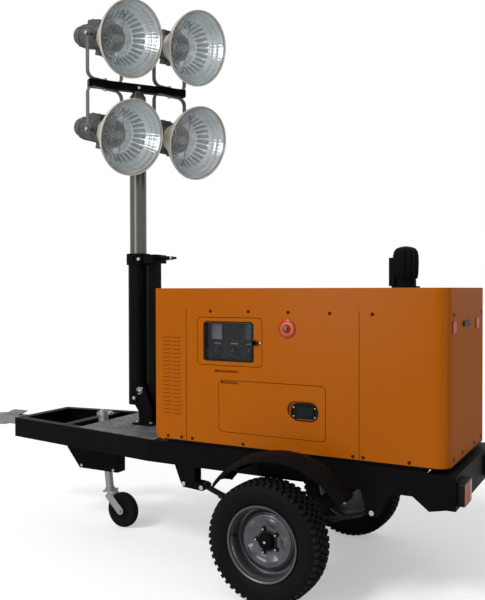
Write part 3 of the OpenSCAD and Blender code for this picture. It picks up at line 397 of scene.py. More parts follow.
class Shape:
    """Gathers a piece's faces. place puts what is drawn next, and finish names its material."""

    def __init__(self, place=None, finish=BLACK):
        self.place = place or on_trailer()
        self.points, self.faces, self.kinds = [], [], []
        self.finishes = []
        self.use(finish)

    def use(self, finish):
        if finish not in self.finishes:
            self.finishes.append(finish)
        self.kind = self.finishes.index(finish)
        return self

    def add(self, points, faces):
        start = len(self.points)
        self.points += [self.place @ Vector(p) for p in points]
        self.faces += [[start + i for i in f] for f in faces]
        self.kinds += [self.kind] * len(faces)

    def loft(self, rings, ends="capped"):
        """Walls between rings of as many points each, with the ends capped, open or joined."""
        n, count = len(rings[0]), len(rings)
        pairs = [(a, (a + 1) % count) for a in range(count if ends == "joined" else count - 1)]
        faces = [[a * n + i, a * n + (i + 1) % n, b * n + (i + 1) % n, b * n + i]
                 for a, b in pairs for i in range(n)]
        if ends == "capped":
            faces += [list(range(n))[::-1], [(count - 1) * n + i for i in range(n)]]
        self.add([p for ring in rings for p in ring], faces)

    def block(self, low, high):
        self.prism([(low[0], low[1]), (high[0], low[1]), (high[0], high[1]), (low[0], high[1])],
                   low[2], high[2])

    def prism(self, outline, low, high, axis="z"):
        """An outline raised from low to high along an axis. Across y it is drawn as (x, z), and
        across x as (y, z)."""
        order = {"z": (0, 1, 2), "y": (0, 2, 1), "x": (2, 0, 1)}[axis]
        self.loft([[tuple((*p, level)[i] for i in order) for p in outline] for level in (low, high)])

    def turned(self, profile, steps=48, ends="capped"):
        """A body turned about X, from points (place along X, radius). An end on the axis closes
        there. Other ends are capped, open or joined to each other."""
        n = len(profile)
        rings = []
        points = []
        for x, r in profile:
            if r <= 1e-6:
                rings.append([len(points)] * steps)
                points.append((x, 0, 0))
            else:
                rings.append(list(range(len(points), len(points) + steps)))
                points += [(x, *polar(r, tau * i / steps)) for i in range(steps)]
        faces = []
        for a in range(n if ends == "joined" else n - 1):
            b = (a + 1) % n
            for i in range(steps):
                j = (i + 1) % steps
                quad = [rings[a][i], rings[a][j], rings[b][j], rings[b][i]]
                faces.append(list(dict.fromkeys(quad)))
        if ends == "capped":
            faces += [rings[k] for k in (0, n - 1) if profile[k][1] > 1e-6]
        self.add(points, [f for f in faces if len(f) > 2])

    def bar(self, a, b, d, steps=16, edge=0.12):
        """A round bar from a to b with slightly broken edges."""
        a, b = Vector(a), Vector(b)
        along = b - a
        length, r, cut = along.length, d / 2, edge * d
        kept = self.place
        self.place = kept @ Matrix.Translation(a) @ along.to_track_quat("X", "Z").to_matrix().to_4x4()
        self.turned([(0, r - cut), (cut, r), (length - cut, r), (length, r - cut)], steps)
        self.place = kept

    def hexagon(self, a, b, d):
        self.bar(a, b, d, steps=6, edge=0.04)

    def pipe(self, path, d, steps=10):
        """A round rod that follows a path, its bends mitred."""
        path = [Vector(p) for p in path]
        rings = []
        side = None
        for k, p in enumerate(path):
            ahead = (path[min(k + 1, len(path) - 1)] - path[max(k - 1, 0)]).normalized()
            if side is None:
                side = ahead.orthogonal().normalized()
            side = (side - ahead * side.dot(ahead)).normalized()
            other = ahead.cross(side)
            turns = (polar(d / 2, tau * i / steps) for i in range(steps))
            rings.append([p + side * a + other * b for a, b in turns])
        self.loft(rings)

    def sheet(self, where, around, along, ends="open"):
        """A loft of the points where(u, v), with u going round and v along, each from 0 to 1."""
        self.loft([[where(i / around, j / along) for i in range(around)] for j in range(along + 1)], ends)

    def finish(self, name, body, replaces=(), slot=None, bevel=0.0, sharp=35, facing=True):
        mesh = bpy.data.meshes.new(name)
        mesh.from_pydata(self.points, [], self.faces)
        for material in self.finishes:
            mesh.materials.append(material)
        mesh.polygons.foreach_set("material_index", self.kinds)
        work = bmesh.new()
        work.from_mesh(mesh)
        bmesh.ops.remove_doubles(work, verts=work.verts, dist=1e-6)
        if facing:
            bmesh.ops.recalc_face_normals(work, faces=work.faces)
        work.to_mesh(mesh)
        work.free()
        return ride(mesh, name, body, replaces, bevel, sharp)


def ride(mesh, name, body, replaces=(), bevel=0.0, sharp=35):
    """Makes a finished mesh a piece that rides on its body."""
    mesh.shade_smooth()
    mesh.set_sharp_from_angle(angle=radians(sharp))
    piece = bpy.data.objects.new(name, mesh)
    bpy.context.scene.collection.objects.link(piece)
    if bevel:
        edges = piece.modifiers.new("edges", "BEVEL")
        edges.width = bevel * MM
        edges.segments = 2
        edges.limit_method = "ANGLE"
        edges.angle_limit = radians(40)
    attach(piece, body)
    if replaces:
        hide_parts(*replaces)
    return piece


def rounded(x0, y0, x1, y1, r, steps=6):
    """The outline of a rectangle with round corners."""
    corners = ((x1 - r, y1 - r, 0), (x0 + r, y1 - r, 90), (x0 + r, y0 + r, 180), (x1 - r, y0 + r, 270))
    return [point for x, y, start in corners for point in arc(x, y, r, start, start + 90, steps)]


# Repeated parts


def start_parts_tree(name, sockets):
    tree = bpy.data.node_groups.new(name, "GeometryNodeTree")
    tree.interface.new_socket("Part", in_out="INPUT", socket_type="NodeSocketGeometry")
    for label, kind in sockets:
        tree.interface.new_socket(label, in_out="INPUT", socket_type="NodeSocket" + kind)
    tree.interface.new_socket("Finish", in_out="INPUT", socket_type="NodeSocketMaterial")
    tree.interface.new_socket("Parts", in_out="OUTPUT", socket_type="NodeSocketGeometry")
    return tree, put(tree, "NodeGroupInput").outputs


def end_parts_tree(tree, given, count, place, facing):
    """Sets copies of the part at their places and turns, as real faces with their finish."""
    points = put(tree, "GeometryNodePoints", {"Count": count}).outputs[0]
    laid = put(tree, "GeometryNodeSetPosition", {"Geometry": points, "Position": place}).outputs[0]
    copies = put(tree, "GeometryNodeInstanceOnPoints", {"Points": laid, "Instance": given["Part"],
                 "Rotation": facing}).outputs[0]
    real = put(tree, "GeometryNodeRealizeInstances", {0: copies}).outputs[0]
    done = put(tree, "GeometryNodeSetMaterial", {"Geometry": real, "Material": given["Finish"]})
    put(tree, "NodeGroupOutput", {0: done.outputs[0]})
    return tree


def make_ring_tree():
    """Copies of a part round the Y axis; the part's own X points outwards."""
    tree, given = start_parts_tree("ring_of_parts", (("Count", "Int"), ("Radius", "Float"),
                                                     ("First turn", "Float")))
    share = sums(tree, "DIVIDE", put(tree, "GeometryNodeInputIndex").outputs[0], given["Count"])
    angle = sums(tree, "ADD", sums(tree, "MULTIPLY", share, tau), given["First turn"])
    x = sums(tree, "MULTIPLY", sums(tree, "COSINE", angle), given["Radius"])
    z = sums(tree, "MULTIPLY", sums(tree, "SINE", angle), given["Radius"])
    place = put(tree, "ShaderNodeCombineXYZ", {"X": x, "Z": z}).outputs[0]
    facing = put(tree, "ShaderNodeCombineXYZ", {"Y": sums(tree, "MULTIPLY", angle, -1.0)}).outputs[0]
    return end_parts_tree(tree, given, given["Count"], place, facing)


def make_grid_tree():
    """Copies of a part in rows and columns, every second one turned by Twist."""
    tree, given = start_parts_tree("grid_of_parts", (("Columns", "Int"), ("Rows", "Int"),
                                   ("Column step", "Vector"), ("Row step", "Vector"), ("Twist", "Vector")))
    count = sums(tree, "MULTIPLY", given["Columns"], given["Rows"])
    index = put(tree, "GeometryNodeInputIndex").outputs[0]
    row = sums(tree, "FLOOR", sums(tree, "DIVIDE", sums(tree, "ADD", index, 0.01), given["Columns"]))
    column = sums(tree, "SUBTRACT", index, sums(tree, "MULTIPLY", row, given["Columns"]))
    odd = sums(tree, "MODULO", sums(tree, "ADD", row, column), 2.0)
    across, along, facing = (put(tree, "ShaderNodeVectorMath", {0: given[step], 3: number},
                                 operation="SCALE").outputs[0]
                             for step, number in (("Column step", column), ("Row step", row), ("Twist", odd)))
    place = put(tree, "ShaderNodeVectorMath", {0: across, 1: along}, operation="ADD").outputs[0]
    return end_parts_tree(tree, given, count, place, facing)


RING = make_ring_tree()
GRID = make_grid_tree()


def repeated(tree, part, place, **sizes):
    """The mesh that a tree makes from a drawn part, moved to its place."""
    mesh = bpy.data.meshes.new("part")
    mesh.from_pydata(part.points, [], part.faces)
    mesh.materials.append(part.finishes[0])
    source = bpy.data.objects.new("part", mesh)
    bpy.context.scene.collection.objects.link(source)
    modifier = source.modifiers.new("parts", "NODES")
    modifier.node_group = tree
    sockets = {s.name: s.identifier for s in tree.interface.items_tree if s.in_out == "INPUT"}
    modifier[sockets["Finish"]] = part.finishes[0]
    for name, value in sizes.items():
        modifier[sockets[name.replace("_", " ")]] = value
    bpy.context.view_layer.update()
    evaluated = source.evaluated_get(bpy.context.evaluated_depsgraph_get())
    made = bpy.data.meshes.new_from_object(evaluated)
    bpy.data.objects.remove(source)
    made.transform(place)
    return made


def joined(meshes):
    """Several finished meshes as one."""
    work = bmesh.new()
    finishes = []
    for mesh in meshes:
        start = len(work.faces)
        work.from_mesh(mesh)
        work.faces.ensure_lookup_table()
        for face in work.faces[start:]:
            material = mesh.materials[face.material_index]
            if material not in finishes:
                finishes.append(material)
            face.material_index = finishes.index(material)
    result = bpy.data.meshes.new("joined")
    work.to_mesh(result)
    work.free()
    for material in finishes:
        result.materials.append(material)
    return result


# Road wheels

TYRE_R = 287.5
TYRE_W = 168
TREAD_DEEP = 9
RIM_R = 180
TREAD_BLOCKS = 52
HUB_R = 40
STUDS_R = 57


def wheel_place(side):
    """A wheel's own frame: X outwards along the axle, away from the trailer."""
    return on_trailer(0, SIDES[side] * AXLE.y / MM, AXLE.z / MM) @ turn(90 * SIDES[side], "Z")


def tyre_profile():
    half = TYRE_W / 2
    base = TYRE_R - TREAD_DEEP
    crown = [(half - 20, base - 3), (half - 9, base - 13), (half - 3, base - 26), (half, RIM_R + 62),
             (half - 1, RIM_R + 44), (half - 3, RIM_R + 40), (half - 2, RIM_R + 36), (half - 8, RIM_R + 18),
             (half - 18, RIM_R + 5), (half - 22, RIM_R - 4), (half - 28, RIM_R - 14)]
    return [(-x, r) for x, r in reversed(crown)] + [(0, base)] + crown


def tread_block(width, length, height):
    """A tread block: X outwards, Y across the tyre, Z round it, with its top drawn in."""
    part = Shape(MILLIMETRES, TREAD)
    part.loft([[(x, sy * (width / 2 - cut), sz * (length / 2 - cut))
                for sy, sz in ((-1, -1), (1, -1), (1, 1), (-1, 1))]
               for x, cut in ((-4, 0), (height - 1.5, 0.5), (height, 2))])
    return part


def make_tyre(side):
    """The carcass, and five rows of tread blocks that lean out at the shoulders."""
    body = "wheel_" + side
    place = wheel_place(side)
    carcass = Shape(place, RUBBER)
    carcass.turned(tyre_profile(), 128, ends="joined")
    carcass.finish("tyre_carcass_" + side, body, ["tyre_" + side], "tyre_black", sharp=50)
    base = TYRE_R - TREAD_DEEP
    rows = []
    for y, width, length, radius, first in ((0, 24, 22, base, 0.0), (29, 25, 21, base - 0.5, 0.5),
                                            (-29, 25, 21, base - 0.5, 0.5), (61, 30, 19, base - 5, 0.0),
                                            (-61, 30, 19, base - 5, 0.0)):
        lean = 0 if abs(y) < 40 else math.copysign(16, y)
        part = tread_block(width, length, TREAD_DEEP)
        part.points = [turn(lean, "Z") @ p for p in part.points]
        row_place = place @ turn(-90, "Z") @ Matrix.Translation((0, y, 0)) @ METRES
        rows.append(repeated(RING, part, row_place, Count=TREAD_BLOCKS, Radius=radius * MM,
                             First_turn=first * tau / TREAD_BLOCKS))
    ride(joined(rows), "tread_blocks_" + side, body, sharp=25)


def rim_height(r, angle):
    """How far out the wheel disc's face stands at a radius, with five raised pads round the hub."""
    outline = ((40, 4), (52, 6), (66, 7), (84, 10), (104, 15), (120, 16), (132, 9), (141, -4), (150, -8))
    for (r0, h0), (r1, h1) in zip(outline, outline[1:]):
        if r <= r1:
            t = max(0.0, (r - r0) / (r1 - r0))
            base = h0 + (h1 - h0) * t * t * (3 - 2 * t)
            break
    pad = max(0.0, cos(5 * angle)) ** 0.7 * math.exp(-((r - 92) / 16) ** 2)
    dish = max(0.0, -cos(5 * angle)) ** 2 * math.exp(-((r - 57) / 9) ** 2)
    return base + 7 * pad - 3 * dish


def make_rim(side):
    """The pressed disc in its barrel, and the hub with its cap, nuts and valve."""
    body = "wheel_" + side
    piece = Shape(wheel_place(side), LACQUER)

    def face(u, v):
        angle, r = tau * u, HUB_R + 110 * v
        return rim_height(r, angle), *polar(r, angle)

    piece.sheet(face, 120, 44)
    barrel = [(-8, 150), (-6, 156), (40, 158), (52, 160), (58, 166), (63, 168), (70, 170), (73, 175),
              (73, 179), (70, RIM_R), (66, RIM_R), (64, 176), (60, 172), (54, 168), (20, 164), (-30, 164),
              (-54, 168), (-60, 172), (-64, RIM_R), (-70, RIM_R), (-70, 172), (-56, 158), (-20, 156)]
    back = [(-20, 150), (-24, 130), (-24, HUB_R)]
    step = [(-20, 156), (-20, 150)]
    bore = [(-24, HUB_R), (rim_height(HUB_R, 0), HUB_R)]
    for profile in (barrel, back, step, bore):
        piece.turned(profile, 120, ends="open")
    piece.finish("rim_pressing_" + side, body, ["rim_" + side], "rim_silver", sharp=40)
    hub = Shape(wheel_place(side), BLACK)
    hub.turned([(-20, 44), (4, 44), (7, 41), (26, 36), (33, 31), (36, 20), (37, 0)], 48)
    hub.use(SPRING).turned([(5, 50), (9, 50), (10, 47), (10, 40), (5, 40)], 48, ends="joined")
    hub.use(BOLT).turned([(36, 7), (40, 6), (41, 0)], 16)
    for i in range(5):
        y, z = polar(STUDS_R, radians(36 + 72 * i))
        hub.use(PLASTIC).hexagon((2, y, z), (17, y, z), 21)
        hub.use(BOLT).bar((16, y, z), (22, y, z), 10)
    hub.use(PLASTIC).bar((30, -146, 12), (62, -152, 12), 9)
    hub.finish("hub_and_nuts_" + side, body, bevel=0.6)


# Lamps

LAMP_R = 215
LAMP_REACH = 282
LAMP_PITCH = 15
MOUTH_AT = 96
MOUTH_R = 80
FLUTES = 28
FLUTE_START_R = 104
FLUTE_END_R = 156
DIMPLES = 64
DIMPLE_LONG = 17
SEAL = 8


def pivot_place(k):
    """A lamp's pivot: Y along its axis, X level and ahead."""
    joint = JOINTS[f"lamp_tilt_{k}"]
    across = Vector(joint["axis"])
    axes = Matrix((across.cross(Vector((0, 0, 1))), across, (0, 0, 1))).transposed().to_4x4()
    return Matrix.Translation(joint["pos_m"]) @ axes @ MILLIMETRES


def lamp_place(k):
    """A lamp's own frame: its pivot at the origin, facing along X."""
    return pivot_place(k) @ turn(LAMP_PITCH, "Y")


def bell_x(r):
    """Where along the lamp the bell's inner wall has a radius: a shallow curve."""
    t = (r - MOUTH_R) / (LAMP_R - SEAL - MOUTH_R)
    return MOUTH_AT + (LAMP_REACH - 14 - MOUTH_AT) * (0.82 * t + 0.18 * t * t)


def ramp(value, low, high):
    return min(1.0, max(0.0, (value - low) / (high - low)))


def bell_relief(r, angle):
    """How deep the bell is pressed out at a point: rings by the mouth, flutes, then a hammered band."""
    rings = 1.6 * ramp(FLUTE_START_R - r, 0, 3) * sin(tau * (r - MOUTH_R) / 8) ** 2
    fluted = ramp(r, FLUTE_START_R, FLUTE_START_R + 9) * ramp(FLUTE_END_R - r, 0, 9)
    flute = 4.2 * fluted * (0.5 - 0.5 * cos(FLUTES * angle)) ** 0.7
    hammered = ramp(r, FLUTE_END_R, FLUTE_END_R + 6) * ramp(LAMP_R - 12 - r, 0, 5)
    cell = cos(tau * (r - FLUTE_END_R) / DIMPLE_LONG) - cos(DIMPLES * angle)
    return rings + flute + 1.7 * hammered * (0.5 + 0.25 * cell)


def bell_inside(u, v):
    """A point of the bell's inner wall, u round it and v from the mouth to the seal."""
    r = MOUTH_R + (LAMP_R - SEAL - MOUTH_R) * v
    angle = tau * u
    deep = bell_relief(r, angle)
    return bell_x(r) - 0.6 * deep, *polar(r + 0.7 * deep, angle)


def paint_valley_shade(mesh, k):
    """Writes how deeply each point of the bell's inside is pressed, for the metal to paint as shade in the
    valleys.
    """
    back = lamp_place(k).inverted()
    shade = mesh.attributes.new("valley_shade", "FLOAT", "POINT")
    for point, value in zip(mesh.vertices, shade.data):
        x, y, z = back @ point.co
        r = math.hypot(y, z)
        inside = MOUTH_R + 1 < r < LAMP_R - SEAL - 1 and abs(x - bell_x(r)) < 7
        value.value = ramp(bell_relief(r, math.atan2(z, y)), 0.0, 3.8) if inside else 0.0


def make_reflector(k):
    """The spun bell: pressed metal inside, a rolled edge, and the bare outside down to its mouth."""
    piece = Shape(lamp_place(k), MIRROR)
    piece.sheet(bell_inside, FLUTES * 14, 60)
    seal = [(bell_x(LAMP_R - SEAL), LAMP_R - SEAL)]
    seal += [(LAMP_REACH - x, LAMP_R - r) for x, r in
             ((6, SEAL), (2, 6), (0, 3), (1, 0.5), (5, 0), (12, 1), (16, 5))]
    steps = FLUTES * 7
    piece.use(RIM_EDGE).turned(seal, steps, ends="open")
    outside = [seal[-1]] + [(bell_x(r) - 8, r + 5) for r in range(LAMP_R - 20, MOUTH_R, -12)]
    outside += [(MOUTH_AT - 6, MOUTH_R + 6), (MOUTH_AT - 6, MOUTH_R), (MOUTH_AT, MOUTH_R)]
    piece.use(NECK).turned(outside, steps, ends="open")
    made = piece.finish(f"bell_{k}", f"lamp_{k}", [f"lamp_reflector_{k}"], "reflector", sharp=60,
                        facing=False)
    # Painted shade for the bell's pressed valleys, written as a point attribute.
    paint_valley_shade(made.data, k)


def make_housing(k):
    """The cast body with its terminal cover and lugs, the spun neck, the ring, holder and bulb."""
    piece = Shape(lamp_place(k), LAMP_CAST)
    piece.turned([(-282, 0), (-280, 22), (-272, 42), (-254, 56), (-226, 64), (-190, 67), (-188, 71),
                  (-176, 71), (-174, 67), (-120, 69), (-60, 70), (-58, 74), (-44, 74), (-42, 70),
                  (20, 72), (46, 74), (48, 0)], 56)
    for i in range(10):
        piece.place = lamp_place(k) @ turn(36 * i + 18, "X")
        piece.prism([(-232, 58), (-60, 66), (-60, 74), (-180, 73), (-232, 66)], -2.5, 2.5, "y")
    piece.place = lamp_place(k)
    piece.block((-150, -34, 60), (-20, 34, 92))
    piece.block((-130, -26, 90), (-40, 26, 98))
    piece.block((-58, -12, -104), (-8, 12, -60))
    piece.block((6, -9, -112), (30, 9, -66))
    for s in (-1, 1):
        piece.bar((0, s * 66, 0), (0, s * 132, 0), 14)
        piece.prism(rounded(-26, -20, 26, 20, 8), *sorted((s * 60, s * 84)), "y")
        piece.use(BOLT).hexagon((0, s * 124, 0), (0, s * 134, 0), 24)
        piece.use(LAMP_CAST)
    piece.use(BOLT)
    for y in (-22, 22):
        for x in (-118, -52):
            piece.hexagon((x, y, 96), (x, y, 102), 9)
    neck = [(40, 70), (42, 84), (52, 88), (60, 87), (66, 86), (88, 92), (92, 97), (MOUTH_AT + 4, 99),
            (MOUTH_AT + 6, 95), (MOUTH_AT - 6, 88), (60, 80)]
    piece.use(NECK).turned(neck, 64, ends="joined")
    piece.use(SOOT).turned([(47, 0), (47, 68), (50, 70), (50, 0)], 48)
    ring = ((-8, -1), (-3, -5), (-8, -9), (-20, -9), (-20, -3))
    piece.use(ZINC).turned([(MOUTH_AT + x, MOUTH_R + r) for x, r in ring], 64, ends="joined")
    for i in range(8):
        spoke = [(x, *polar(r, radians(45 * i + 12))) for x, r in ((52, 60), (60, 40), (66, 20))]
        piece.pipe(spoke, 5, 8)
    piece.use(CAST).turned([(49, 0), (49, 24), (70, 24), (74, 20), (74, 0)], 32)
    piece.use(BULB).turned([(74, 0), (74, 12), (88, 14), (100, 20), (122, 23), (146, 23), (164, 18),
                            (174, 10), (178, 0)], 28)
    wire_x, reach = 168, 146
    piece.use(PLASTIC).pipe([(wire_x, 0, -reach), (wire_x, 0, reach)], 3.6, 8)
    for up in (-1, 1):
        for s in (-1, 1):
            piece.pipe([(wire_x, 0, up * (reach - 22)), (wire_x - 4, s * 9, up * (reach - 8)),
                        (wire_x - 8, s * 15, up * (reach - 2))], 3.2, 8)
    piece.finish(f"lamp_body_{k}", f"lamp_{k}", [f"lamp_housing_{k}"], "lamp_grey", bevel=0.8, sharp=40)


def make_glass(k):
    """The domed cover glass, as a thin closed shell."""
    piece = Shape(lamp_place(k), LENS)
    edge_r, rise, thick = LAMP_R - 11, 34, 4
    dome_r = (edge_r ** 2 + rise ** 2) / (2 * rise)
    centre = LAMP_REACH - 9 + rise - dome_r
    reach = math.degrees(math.asin(edge_r / dome_r))
    outer, inner = (arc(centre, 0, r, 0, reach, 20) for r in (dome_r, dome_r - thick))
    piece.turned(outer + inner[::-1], 96)
    piece.finish(f"cover_glass_{k}", f"lamp_{k}", [f"lamp_glass_{k}"], "clear_glass", sharp=60)


# Canopy

CANOPY_FRONT = 750
CANOPY_LOW, CANOPY_TOP = 669, 1467
CANOPY_Y = 402.5
WALL_TOP = 1360
CANOPY_REAR = -797
CORNER_R = 60
TOE_R = 58
LOUVRE_PITCH = 21


def side_place(side):
    """Puts (x, depth, z) on a side of the canopy, with depth counted outwards from its face."""
    s = SIDES[side]
    mirror = Matrix.Diagonal((1, s, 1, 1))
    return TRAILER @ mirror @ Matrix.Translation((0, CANOPY_Y, 0))


def make_screws():
    """The canopy's screw heads: a lower and an upper row a side, and six at the rear."""
    lower = ((667, 690), (582, 690), (516, 689), (217, 688), (-361, 688), (-410, 688), (-625, 688))
    upper = ((405, 1350), (186, 1350), (-31, 1349), (-246, 1347), (-454, 1346))
    for side in SIDES:
        piece = Shape(side_place(side), SCREW)
        for x, z in lower + upper:
            piece.bar((x, -1, z), (x, 2.2, z), 17, 16)
            piece.bar((x, 2, z), (x, 4.5, z), 10, 12)
        piece.finish("screws_" + side, "chassis", bevel=0.6)
    rear = Shape(finish=SCREW)
    for y, z in ((300, 700), (-130, 700), (-300, 700), (130, 700), (300, 1345), (-300, 1345)):
        rear.bar((CANOPY_REAR + 1, y, z), (CANOPY_REAR - 4, y, z), 14, 14)
    rear.finish("screws_rear", "chassis", bevel=0.6)


def make_front_corners():
    """Draws the canopy's two front upright corners sharper than the solids have them."""
    sharp_r, sunk_r = 14, CORNER_R - 3
    x0, y0 = CANOPY_FRONT - CORNER_R, CANOPY_Y - CORNER_R
    corner = arc(CANOPY_FRONT - sharp_r, CANOPY_Y - sharp_r, sharp_r, 90, 0, 6)
    section = [(x0, CANOPY_Y)] + corner + [(CANOPY_FRONT, y0)] + arc(x0, y0, sunk_r, 0, 90, 8)
    levels = [CANOPY_LOW + TOE_R * (1 - cos(radians(11.25 * i))) for i in range(9)]
    levels += [WALL_TOP, CANOPY_TOP]
    for side, s in SIDES.items():
        piece = Shape(finish=PAINT)
        rings = []
        for z in levels:
            drop = max(0.0, CANOPY_LOW + TOE_R - z)
            front = CANOPY_FRONT - TOE_R + math.sqrt(TOE_R ** 2 - drop ** 2)
            rings.append([(min(x, front), s * y, z) for x, y in section])
        piece.loft(rings)
        piece.finish("front_corner_" + side, "chassis", slot="canopy_orange", sharp=50)


def make_louvres():
    """A pressed lip over each slot, in two columns a side."""
    for side in SIDES:
        meshes = []
        for x in (CANOPY_FRONT - 72, CANOPY_FRONT - 134):
            lip = Shape(MILLIMETRES, PAINT)
            lip.prism([(-1, 9), (1.2, 9), (4.5, 5), (5, 2.2), (3.8, 2), (0.4, 6), (-1, 7)], -25, 25, "x")
            place = side_place(side) @ Matrix.Translation((x, 0, WALL_TOP - 150)) @ METRES
            meshes.append(repeated(GRID, lip, place, Columns=1, Rows=20, Column_step=(0, 0, 0),
                                   Row_step=(0, 0, -LOUVRE_PITCH * MM), Twist=(0, 0, 0)))
        mesh = joined(meshes)
        if side == "right":
            mesh.flip_normals()
        ride(mesh, "louvre_lips_" + side, "chassis", sharp=30)


def make_control_panel():
    """What shows behind the window: a face plate, a meter, a display and three knobs."""
    piece = Shape(on_trailer(0, 340, 0), PANEL)
    piece.prism(rounded(118, 1088, 478, 1310, 10), -8, 0, "y")
    for x0, z0, x1, z1, finish in ((368, 1204, 430, 1284, DIAL), (182, 1206, 232, 1284, DISPLAY),
                                   (268, 1214, 330, 1284, PLASTIC)):
        piece.use(PLASTIC).prism(rounded(x0 - 5, z0 - 5, x1 + 5, z1 + 5, 6), -1, 6, "y")
        piece.use(finish).prism(rounded(x0, z0, x1, z1, 3), 2, 7.5, "y")
    for x in (400, 300, 206):
        piece.use(DIAL).prism(rounded(x - 22, 1180, x + 22, 1186, 2), -1, 1, "y")
    for x in (396, 300, 206):
        piece.use(PLASTIC).bar((x, -1, 1142), (x, 4, 1142), 56, 32)
        piece.bar((x, 3, 1142), (x, 22, 1142), 40, 28)
        mark = [(x - 1.5, 1144), (x + 1.5, 1144), (x + 1.5, 1160), (x - 1.5, 1160)]
        piece.use(DIAL).prism(mark, 21, 22.6, "y")
    piece.finish("control_fittings", "chassis", bevel=0.8)
    seal = Shape(side_place("left"), PLASTIC)
    frame_band(seal, rounded(161, 1097, 443, 1299, 14), rounded(168, 1104, 436, 1292, 9), -3, 1.6)
    seal.bar((146, 0, 1196), (146, 14, 1196), 26, 24)
    seal.prism(rounded(128, 1186, 164, 1206, 8), 6, 14, "y")
    seal.use(BOLT).bar((120, 0, 1196), (120, 4, 1196), 10, 14)
    seal.finish("window_seal_and_latch", "door_control", bevel=0.6)


def frame_band(piece, outer, inner, low, high):
    """A band between an outer and an inner outline of as many points, drawn as (x, z)."""
    piece.loft([[(x, level, z) for x, z in rim] for rim, level in
                ((outer, low), (outer, high), (inner, high), (inner, low))], ends="joined")


def make_emergency_stop():
    """A red collar, a paler ring and a dark button."""
    piece = Shape(on_trailer(-26, CANOPY_Y, 1270) @ turn(90, "Z"), STOP_RED)
    piece.turned([(0, 46), (4, 46), (7, 43), (8, 36), (4, 33), (0, 33)], 56, ends="joined")
    piece.use(STOP_PALE).turned([(0, 34), (5, 34), (6, 31), (6, 20), (0, 20)], 56, ends="joined")
    piece.use(STOP_RED).turned([(3, 23), (16, 21), (19, 18), (19, 12), (3, 12)], 48, ends="joined")
    piece.use(STOP_DARK).turned([(4, 0), (4, 13), (24, 16), (28, 14), (30, 8), (30, 0)], 40)
    piece.finish("stop_button", "chassis", ["emergency_stop"], "stop_red", sharp=45)


def make_latches():
    """The recessed latch of each service door, with its paddle and four screws."""
    for side in SIDES:
        piece = Shape(side_place(side), PLASTIC)
        outer, inner = rounded(-190, 829, -44, 917, 43, 10), rounded(-183, 836, -51, 910, 36, 10)
        frame_band(piece, outer, inner, -6, 2)
        piece.prism(rounded(-184, 835, -50, 911, 37, 10), -13, -10, "y")
        piece.prism(rounded(-166, 848, -84, 898, 10, 4), -11, -3, "y")
        piece.prism(rounded(-160, 852, -118, 894, 6, 4), -4, -1, "y")
        for x in (-172, -62):
            for z in (852, 894):
                piece.use(BOLT).bar((x, 0, z), (x, 3.4, z), 7, 12)
        piece.finish("door_latch_" + side, "door_" + side, bevel=1.0)


def make_exhaust():
    """The fluted rain cap on its neck."""
    place = on_trailer(-490, 0, CANOPY_TOP)
    piece = Shape(place @ turn(-90, "Y"), BLACK)
    neck = [(0, 70), (7, 70), (8, 66), (9, 52), (120, 50), (120, 40), (4, 40), (0, 44)]
    piece.turned(neck, 48, ends="joined")
    piece.place = place

    def cap(u, v):
        angle = tau * u
        profile = ((46, 60), (70, 64), (120, 66), (160, 65), (182, 60), (196, 48), (204, 26), (207, 6))
        t = v * (len(profile) - 1)
        i = min(int(t), len(profile) - 2)
        z, r = (profile[i][n] + (profile[i + 1][n] - profile[i][n]) * (t - i) for n in (0, 1))
        lobe = 1 - 0.13 * (1 - abs(cos(4 * angle))) * min(1, r / 60)
        return *polar(r * lobe, angle), z

    piece.sheet(cap, 96, 28, ends="capped")
    piece.block((46, -40, 8), (74, 40, 150))
    piece.finish("rain_cap", "chassis", ["exhaust_outlet"], "panel_black", bevel=0.6, sharp=50)


def make_tail_lamps():
    """A black case each side, with amber, red and white lenses from its outer end."""
    back, front = -864, -830
    for side, s in SIDES.items():
        y0, y1 = sorted((s * 233, s * 383))
        piece = Shape(finish=PLASTIC)
        piece.prism(rounded(y0, 514, y1, 618, 12), back + 2, front, "x")
        for start, end, finish in ((0, 0.34, AMBER_LENS), (0.36, 0.78, RED_LENS), (0.8, 1, WHITE_LENS)):
            a, b = sorted(s * (377 - 138 * share) for share in (start, end))
            piece.use(finish).prism(rounded(a, 521, b, 611, 5), back + 0.5, back + 4, "x")
        for y in (y0 + 10, y1 - 10):
            piece.use(BOLT).bar((back + 3, y, 518), (back + 0.6, y, 518), 6, 10)
        replaced = ["tail_lamps"] if side == "left" else ()
        piece.finish("tail_lamp_" + side, "chassis", replaced, "stop_red", bevel=1.0)


def make_rear_reflectors():
    """Two small red plates high on the rear wall, with a black one between them."""
    piece = Shape(finish=RED_LENS)
    sunk = CANOPY_REAR + 1
    for y in (300, -200):
        piece.prism(rounded(y - 34, 1262, y + 34, 1316, 12), CANOPY_REAR - 5, sunk, "x")
    piece.use(PLASTIC).prism(rounded(-20, 1286, 120, 1310, 10), CANOPY_REAR - 8, sunk, "x")
    piece.finish("rear_reflectors", "chassis", bevel=1.2)


# Mast and its foot


